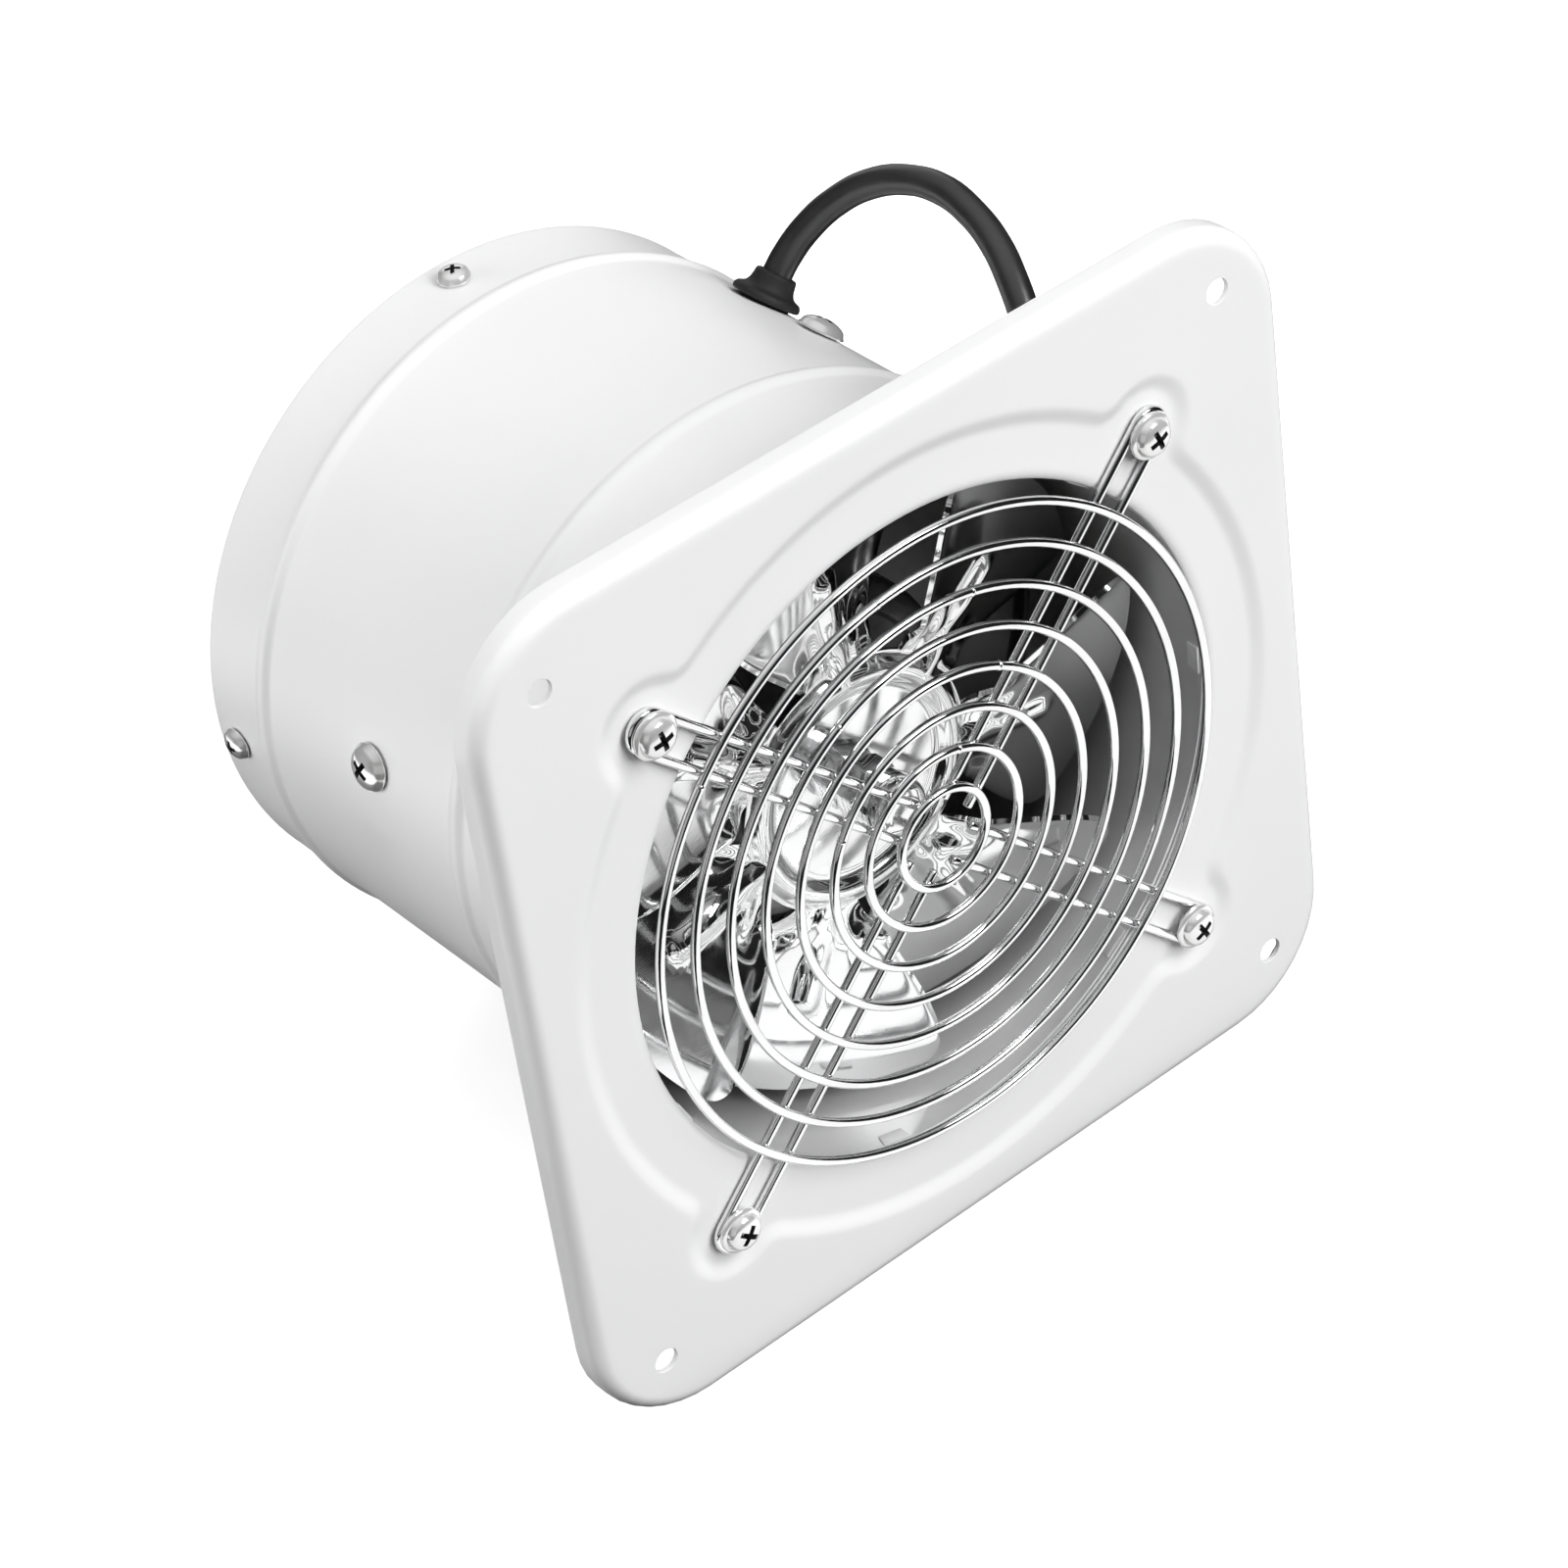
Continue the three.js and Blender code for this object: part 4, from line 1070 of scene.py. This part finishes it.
# ---- impeller ----
HUB_Y = 18
HUB_RADIUS = 29
BLADES = 7
FIRST_BLADE = 39.7
BLADE_START = 27.5
BLADE_TIP = 69.8
BLADE_CORNER = 5
BLADE_RISE = 10.8
BLADE_SHEET = 1.1
ROOT_HALF_ANGLE = 17
TIP_HALF_ANGLE = 28.2
TWIST_START = 28
RING_RADIUS, RING_HEIGHT, RING_HALF = 24.8, 2.2, 3.3
RIB_START, RIB_END, RIB_HEIGHT, RIB_HALF = 26.0, 49.5, 2.1, 3.4
# Radii of the disc's rows of points, closer together over the pressed ring.
DISC_RADII = (
    4.6, 7, 9, 12, 15, 18, 20, 21.2, 22, 22.8, 23.6, 24.4, 25.2, 26, 26.7, BLADE_START,
)


def blade_half_angle(radius):
    """Half a blade's width as an angle: it widens quickly from the hub and slowly towards the tip."""
    t = max(0.0, min(1.0, 1.25 * (radius - HUB_RADIUS) / (BLADE_TIP - HUB_RADIUS)))
    widening = TIP_HALF_ANGLE - ROOT_HALF_ANGLE
    return math.radians(ROOT_HALF_ANGLE + widening * (1 - (1 - t) ** 1.7))


def blade_tip(u):
    """The blade's outer radius at u, which runs from -1 to 1 across it, with rounded corners."""
    from_edge = BLADE_TIP * math.radians(TIP_HALF_ANGLE) * (1 - abs(u))
    in_corner = max(0.0, BLADE_CORNER - from_edge)
    return BLADE_TIP - BLADE_CORNER + math.sqrt(BLADE_CORNER ** 2 - in_corner ** 2)


def ridge(height, half_width, distance):
    return height * math.cos(math.pi / 2 * min(1, distance / half_width)) ** 1.2


def pressed(radius, across):
    """How far the pressed ring and a blade's rib stand in front of the sheet."""
    past_end = max(0.0, radius - RIB_END, RIB_START - radius)
    ring = ridge(RING_HEIGHT, RING_HALF, abs(radius - RING_RADIUS))
    return max(ring, ridge(RIB_HEIGHT, RIB_HALF, math.hypot(across, past_end)))


def blade_point(u, t):
    """The radius, angle and y of a blade's point: u runs across it and t from root to tip."""
    radius = BLADE_START + (blade_tip(u) - BLADE_START) * t
    angle = u * blade_half_angle(radius)
    past_root = radius - TWIST_START
    climb = smooth(past_root / 8.5) * (0.25 + 0.75 * (1 - (1 - t) ** 1.5))
    crease = 0.7 * math.sin(math.pi * smooth(past_root / 15)) * math.cos(3 * math.pi * u)
    y = HUB_Y - BLADE_RISE * u * climb - pressed(radius, radius * math.sin(angle)) + crease
    return radius, angle, y


def impeller():
    """One polished sheet: a disc with a pressed ring, and seven twisted blades with a rib each."""
    columns, rows, gaps = 56, 40, 6
    across = [math.sin(math.pi / 2 * (2 * i / columns - 1)) for i in range(columns + 1)]
    down = [(j / rows) ** 1.15 for j in range(rows + 1)]
    sector = TAU / BLADES
    root = blade_half_angle(BLADE_START)
    angles = [u * root for u in across]
    angles += [root + (sector - 2 * root) * i / gaps for i in range(1, gaps + 1)]
    shape = Shape()

    def polar(radius, angle, y):
        return Vector((radius * math.cos(angle), y, radius * math.sin(angle)))

    for k in range(BLADES):
        middle = math.radians(FIRST_BLADE + 360 * k / BLADES)
        disc = []
        for radius in DISC_RADII:
            line = []
            for angle in angles:
                reach = radius * math.sin(angle) if abs(angle) <= root else radius
                line.append(polar(radius, middle + angle, HUB_Y - pressed(radius, reach)))
            disc.append(line)
        shape.grid(disc)
        shape.grid([
            [polar(r, middle + angle, y) for r, angle, y in (blade_point(u, t) for u in across)]
            for t in down
        ])
        web = []
        for t in down[:3]:
            r0, a0, y0 = blade_point(1, t)
            r1, a1, y1 = blade_point(-1, t)
            turn = sector + a1 - a0
            web.append([
                polar(r0 + (r1 - r0) * i / gaps, middle + a0 + turn * i / gaps, y0 + (y1 - y0) * i / gaps)
                for i in range(gaps + 1)
            ])
        shape.grid(web)
    mesh = to_mesh(shape, "pressed_impeller", 60, merge=4 * MERGE_REACH)
    if sum(face.normal.y * face.area for face in mesh.polygons) > 0:
        mesh.flip_normals()
    piece = new_object("pressed_impeller", mesh)
    modify(piece, "SOLIDIFY", thickness=BLADE_SHEET * MM, offset=-1)
    apply_modifiers(piece, 50)
    return ready(piece, "polished_steel", ["impeller"], "rotor")


def turned_part(name, node, outline, slot, body="housing", segments=64, soft=0.4, holes=None):
    """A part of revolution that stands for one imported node."""
    piece = made(name, lathe(outline, segments, soft), 40)
    if holes:
        cut(piece, holes, 40)
    return ready(piece, slot, [node], body)


def impeller_fixings():
    """What holds the impeller on the shaft, and the shaft."""
    cap = (
        (0, 2.5), (3.9, 2.5), (5.6, 3), (6.6, 4.4), (6.8, 6.4), (6.8, 10.3), (4.6, 10.3), (4.6, 4.6),
        (0, 4.6),
    )
    turned_part("acorn_cap", "shaft_end_cap", cap, "chrome_wire", "rotor", 48, 0.6)
    nut = new_object("hex_nut_impeller", nut_mesh("hex_nut_impeller", 12, 4.3, 6.7))
    nut.matrix_world = Matrix.Translation((0, 11 * MM, 0)) @ Matrix.Rotation(0.3, 4, "Y")
    ready(nut, "chrome_wire", ["impeller_nut"], "rotor")
    boss = ((4.4, 19.5), (9.4, 19.5), (10, 20.2), (10, 28.5), (8.6, 28.5), (4.4, 28.5))
    turned_part("turned_boss", "impeller_boss", boss, "cast_aluminium", "rotor", 48)
    shaft = ((0, 5), (3.6, 5), (4, 5.5), (4, 82), (0, 82))
    turned_part("ground_shaft", "motor_shaft", shaft, "zinc_steel", "rotor", 36, 0.2)


# ---- motor ----
def bolt_bores():
    """Rods through the motor where its bolts go."""
    shape = Shape()
    for angle in BOLT_ANGLES:
        shape.add(rod(2.0, -10, 150, 24), Matrix.Translation(around(angle) * BOLT_CIRCLE))
    return shape


def bell(end, rim):
    """The outline of a motor cover whose closed end is at end and whose open rim meets the stator."""
    inward = 1 if rim > end else -1
    ledge = end + 0.8 * inward
    wall = end + 3.3 * inward
    shoulder = end + 3 * inward
    socket = end + 7 * inward
    return (
        (8.3, end), (12, end), (13, ledge), (31, ledge), (32, end), (35, end), (37.2, ledge), (38, shoulder),
        (38, rim), (36.2, rim), (36.2, wall), (11, wall), (11, socket), (8.3, socket),
    )


def motor():
    """Two cast covers, the stator with its windings, the rotor core and the bearings."""
    bores = bolt_bores()
    turned_part("cast_cover_front", "motor_front_cover", bell(32, 46), "cast_aluminium", holes=bores)
    turned_part("cast_cover_rear", "motor_rear_cover", bell(84.5, 70), "cast_aluminium", holes=bores)
    stack = ((20.6, 46.4), (37.9, 46.4), (38, 46.6), (38, 69.5), (37.9, 69.6), (20.6, 69.6))
    turned_part("stator_stack", "stator_core", stack, "lamination", soft=0.15, holes=bores)
    core = ((4.4, 47), (20, 47), (20, 69), (4.4, 69))
    turned_part("rotor_stack", "rotor_core", core, "lamination", "rotor", 48, 0.3)
    for name, low, high in (("winding_front", 38.3, 45.8), ("winding_rear", 70.2, 77.7)):
        shape = lathe(((22.2, low), (29.8, low), (29.8, high), (22.2, high)), 72, 2.4)
        ready(made(f"wound_{name}", shape, 60), "copper_winding", [name])
    for name, low, high in (("front_bearing", 32.5, 38.5), ("rear_bearing", 78, 84)):
        ring = ((4.35, low), (7.9, low), (7.9, high), (4.35, high))
        turned_part(f"sintered_{name}", name, ring, "bronze", segments=48)


def motor_bracket():
    """A pressed ring with three arms, each with a stiffening rib and a foot against the duct."""
    front, back = 84.8, 86.3
    piece = made("bracket_ring", lathe(((12, front), (37, front), (37, back), (12, back)), 96, 0.25))
    cut(piece, bolt_bores())
    line = corner_path((32, back), (FOOT_FACE, back), (FOOT_FACE, 70.6), 2.8)
    arm = angle_strip(list(reversed(line)), back - front, 6.8)
    rib = prism(rounded_section(1.8, 12.5, 1.7, 6), 0, 1.0)
    lie = Matrix(((0, 1, 0, 52.5), (0, 0, 1, back - 0.3), (1, 0, 0, 0), (0, 0, 0, 1)))
    arms = Shape()
    for angle in BRACKET_ANGLES:
        arms.add(arm, turned(angle))
        arms.add(rib, turned(angle) @ lie)
    legs = made("bracket_arms", arms)
    cut(legs, drills(BRACKET_ANGLES, BRACKET_SCREW_Y, 2.8, 66, 12, 24))
    bevelled(legs, 0.25)
    ready(legs, "zinc_steel")
    return ready(piece, "zinc_steel", ["motor_bracket"])


# ---- cable entry ----
def cable_entry():
    """The grommet in the duct's wall, and the thin lead from it to the motor."""
    grommet = (
        (3.3, -4), (6.6, -4), (7, -3.6), (7, -1.7), (5.5, -1.5), (5.5, 0.5), (7.5, 0.6), (7.6, 1.4),
        (7.2, 2.3), (5.6, 2.9), (5.0, 3.8), (4.7, 5.2), (4.5, 6.6), (3.3, 6.8),
    )
    place = aimed(spot(CABLE_ANGLE, DUCT_RADIUS, CABLE_Y), around(CABLE_ANGLE))
    piece = made("moulded_grommet", Shape().add(lathe(grommet, 48, 0.5), place), 50)
    ready(piece, "rubber", ["cable_grommet"])
    start = spot(CABLE_ANGLE, DUCT_RADIUS - 4.5, CABLE_Y)
    inward = spot(CABLE_ANGLE, DUCT_RADIUS - 26, CABLE_Y)
    end = spot(CABLE_ANGLE - 38, 37 + CABLE_RADIUS, 77.5)
    above_end = Vector((end.x * 1.35, CABLE_Y + 6, end.z * 1.35))
    steps = 32
    path = []
    for i in range(steps + 1):
        t = i / steps
        s = 1 - t
        near = start * s ** 3 + inward * 3 * s * s * t
        path.append(near + above_end * 3 * s * t * t + end * t ** 3)
    ready(made("motor_lead", wire(path, 1.8, 16), 60), "cable_jacket", ["inner_lead"])


flange_plate()
duct_tube()
rim_tabs()
screws()
nuts()
front_guard()
rear_guard()
impeller()
impeller_fixings()
motor()
motor_bracket()
cable_entry()


# ---- studio, in metres ----
CAMERA_PLACE = Vector((-458.8, -620.6, 614.2)) * MM
CAMERA_RIGHT = (0.7594, -0.6394, -0.1208)
CAMERA_BACK = (-0.4487, -0.649, 0.6143)
CAMERA_LENS = 114.7
FLOOR_HALF = 9.0
FLOOR_Z = SURFACE * MM
CARD_Z = FLOOR_Z + 0.0005
BACKDROP_RADIUS = 8.8
BACKDROP_TOP = 7.0
BACKDROP_SIDES = 48


def camera():
    data = bpy.data.cameras.new("camera")
    data.lens = CAMERA_LENS
    data.sensor_width = 36
    data.clip_end = 50
    result = new_object("camera", data)
    right = Vector(CAMERA_RIGHT).normalized()
    back = Vector(CAMERA_BACK).normalized()
    up = back.cross(right).normalized()
    turn = Matrix((right, up, back)).transposed().to_4x4()
    result.matrix_world = Matrix.Translation(CAMERA_PLACE) @ turn
    bpy.context.scene.camera = result


def sheet_corners(half_x, half_y, z=0.0):
    return [(x * half_x, y * half_y, z) for x, y in ((-1, -1), (1, -1), (1, 1), (-1, 1))]


def studio_mesh(nodes, points, faces, hidden_from):
    """A glowing piece of the studio, which some kinds of ray don't see."""
    name = nodes.material.name
    mesh = bpy.data.meshes.new(name)
    mesh.from_pydata(points, [], faces)
    mesh.materials.append(nodes.material)
    result = new_object(name, mesh)
    for ray in hidden_from:
        setattr(result, f"visible_{ray}", False)
    return result


def glowing(nodes, pattern, first, second, rough, glow):
    """Makes a finish glow white over a faint pattern of two greys."""
    nodes.colours(pattern, grey(first), grey(second))
    nodes.constant({"Roughness": rough, "Emission Color": (1, 1, 1, 1), "Emission Strength": glow})


def floor():
    nodes = Nodes("studio_floor")
    glowing(nodes, nodes.spread(nodes.noise(1.5), 0, 1), 0.94, 0.95, 0.7, 0.6)
    points = sheet_corners(FLOOR_HALF, FLOOR_HALF, FLOOR_Z)
    studio_mesh(nodes, points, [(0, 1, 2, 3)], ("diffuse", "glossy"))


def backdrop():
    """A pale wall far round the floor, seen only by the camera."""
    nodes = Nodes("studio_backdrop")
    glowing(nodes, nodes.noise(0.5), 0.02, 0.03, 0.9, 0.95)
    count = BACKDROP_SIDES
    angles = [TAU * i / count for i in range(count)]
    points = [
        (BACKDROP_RADIUS * math.cos(angle), BACKDROP_RADIUS * math.sin(angle), z)
        for z in (FLOOR_Z - 0.01, BACKDROP_TOP) for angle in angles
    ]
    faces = [(i, (i + 1) % count, count + (i + 1) % count, count + i) for i in range(count)]
    studio_mesh(nodes, points, faces, ("diffuse", "glossy", "shadow"))


def turned_to(place, direction):
    """Moves the origin to a place and turns +Z to a direction."""
    return Matrix.Translation(place) @ direction.to_track_quat("Z", "Y").to_matrix().to_4x4()


def card(name, place, size, aim, glow, fade=None):
    """A card that only reflections see. fade holds two places on its Y and its glow before the first."""
    nodes = Nodes(name).constant({"Specular IOR Level": 0.0})
    glowing(nodes, nodes.noise(3), 0.004, 0.006, 0.9, glow)
    if fade:
        start, end, dim = fade
        nodes.feed("Emission Strength", nodes.ranged(nodes.along_y(), start, end, dim, glow))
    points = sheet_corners(size[0] / 2, size[1] / 2)
    hidden_from = ("camera", "diffuse", "shadow", "transmission")
    result = studio_mesh(nodes, points, [(0, 1, 2, 3)], hidden_from)
    result.matrix_world = turned_to(place, Vector(aim) - Vector(place))


def softbox(name, place, size, power, glossy=False):
    """A soft light that points at the duct. Reflections see it only if it is glossy."""
    data = bpy.data.lights.new(name, "AREA")
    data.shape = "RECTANGLE"
    data.size, data.size_y = size
    data.energy = power
    result = new_object(name, data)
    result.matrix_world = turned_to(place, Vector(place) - Vector((0, 0.05, 0)))
    result.visible_glossy = glossy


def surroundings():
    """A room that is bright above and dark near the horizon."""
    levels = ((0.0, 0.01), (0.5, 0.02), (0.8, 0.5), (1.0, 0.7))
    world = bpy.data.worlds.new("studio")
    world.use_nodes = True
    tree = world.node_tree
    place = tree.nodes.new("ShaderNodeTexCoord")
    split = tree.nodes.new("ShaderNodeSeparateXYZ")
    ramp = tree.nodes.new("ShaderNodeValToRGB")
    tree.links.new(place.outputs["Generated"], split.inputs["Vector"])
    tree.links.new(split.outputs["Z"], ramp.inputs["Fac"])
    tree.links.new(ramp.outputs["Color"], tree.nodes["Background"].inputs["Color"])
    stops = ramp.color_ramp.elements
    for position, _ in levels[1:-1]:
        stops.new(position)
    for stop, (position, value) in zip(stops, levels):
        stop.position = position
        stop.color = (*grey(value), 1)
    bpy.context.scene.world = world


camera()
floor()
backdrop()
card("front_card", (0.235, -0.386, CARD_Z), (0.77, 0.748), (0.235, -0.386, 1), 1.15, (0.045, -0.03, 0.18))
card("left_card", (-0.5, 0.3, CARD_Z), (0.6, 0.7), (-0.5, 0.3, 1), 1.6)
card("back_card", (0.9, 1.7, 0.6), (1.4, 1.4), (0, 0.14, 0), 0.7)
card("side_card", (-1.3, -0.9, 0.35), (1.2, 1.0), (0, 0, 0), 0.4)
surroundings()
softbox("key_softbox", (0.9, -1.5, 1.7), (1.2, 1.0), 28, glossy=True)
softbox("left_softbox", (-1.9, 1.0, 0.35), (1.4, 1.4), 38)
softbox("top_softbox", (0.2, 0.6, 2.1), (1.6, 1.6), 4)
softbox("right_softbox", (1.8, 0.9, 0.4), (1.4, 1.4), 10)
softbox("front_softbox", (0.6, -2.0, 0.9), (1.2, 1.2), 34)
bpy.context.scene.view_settings.view_transform = "Standard"
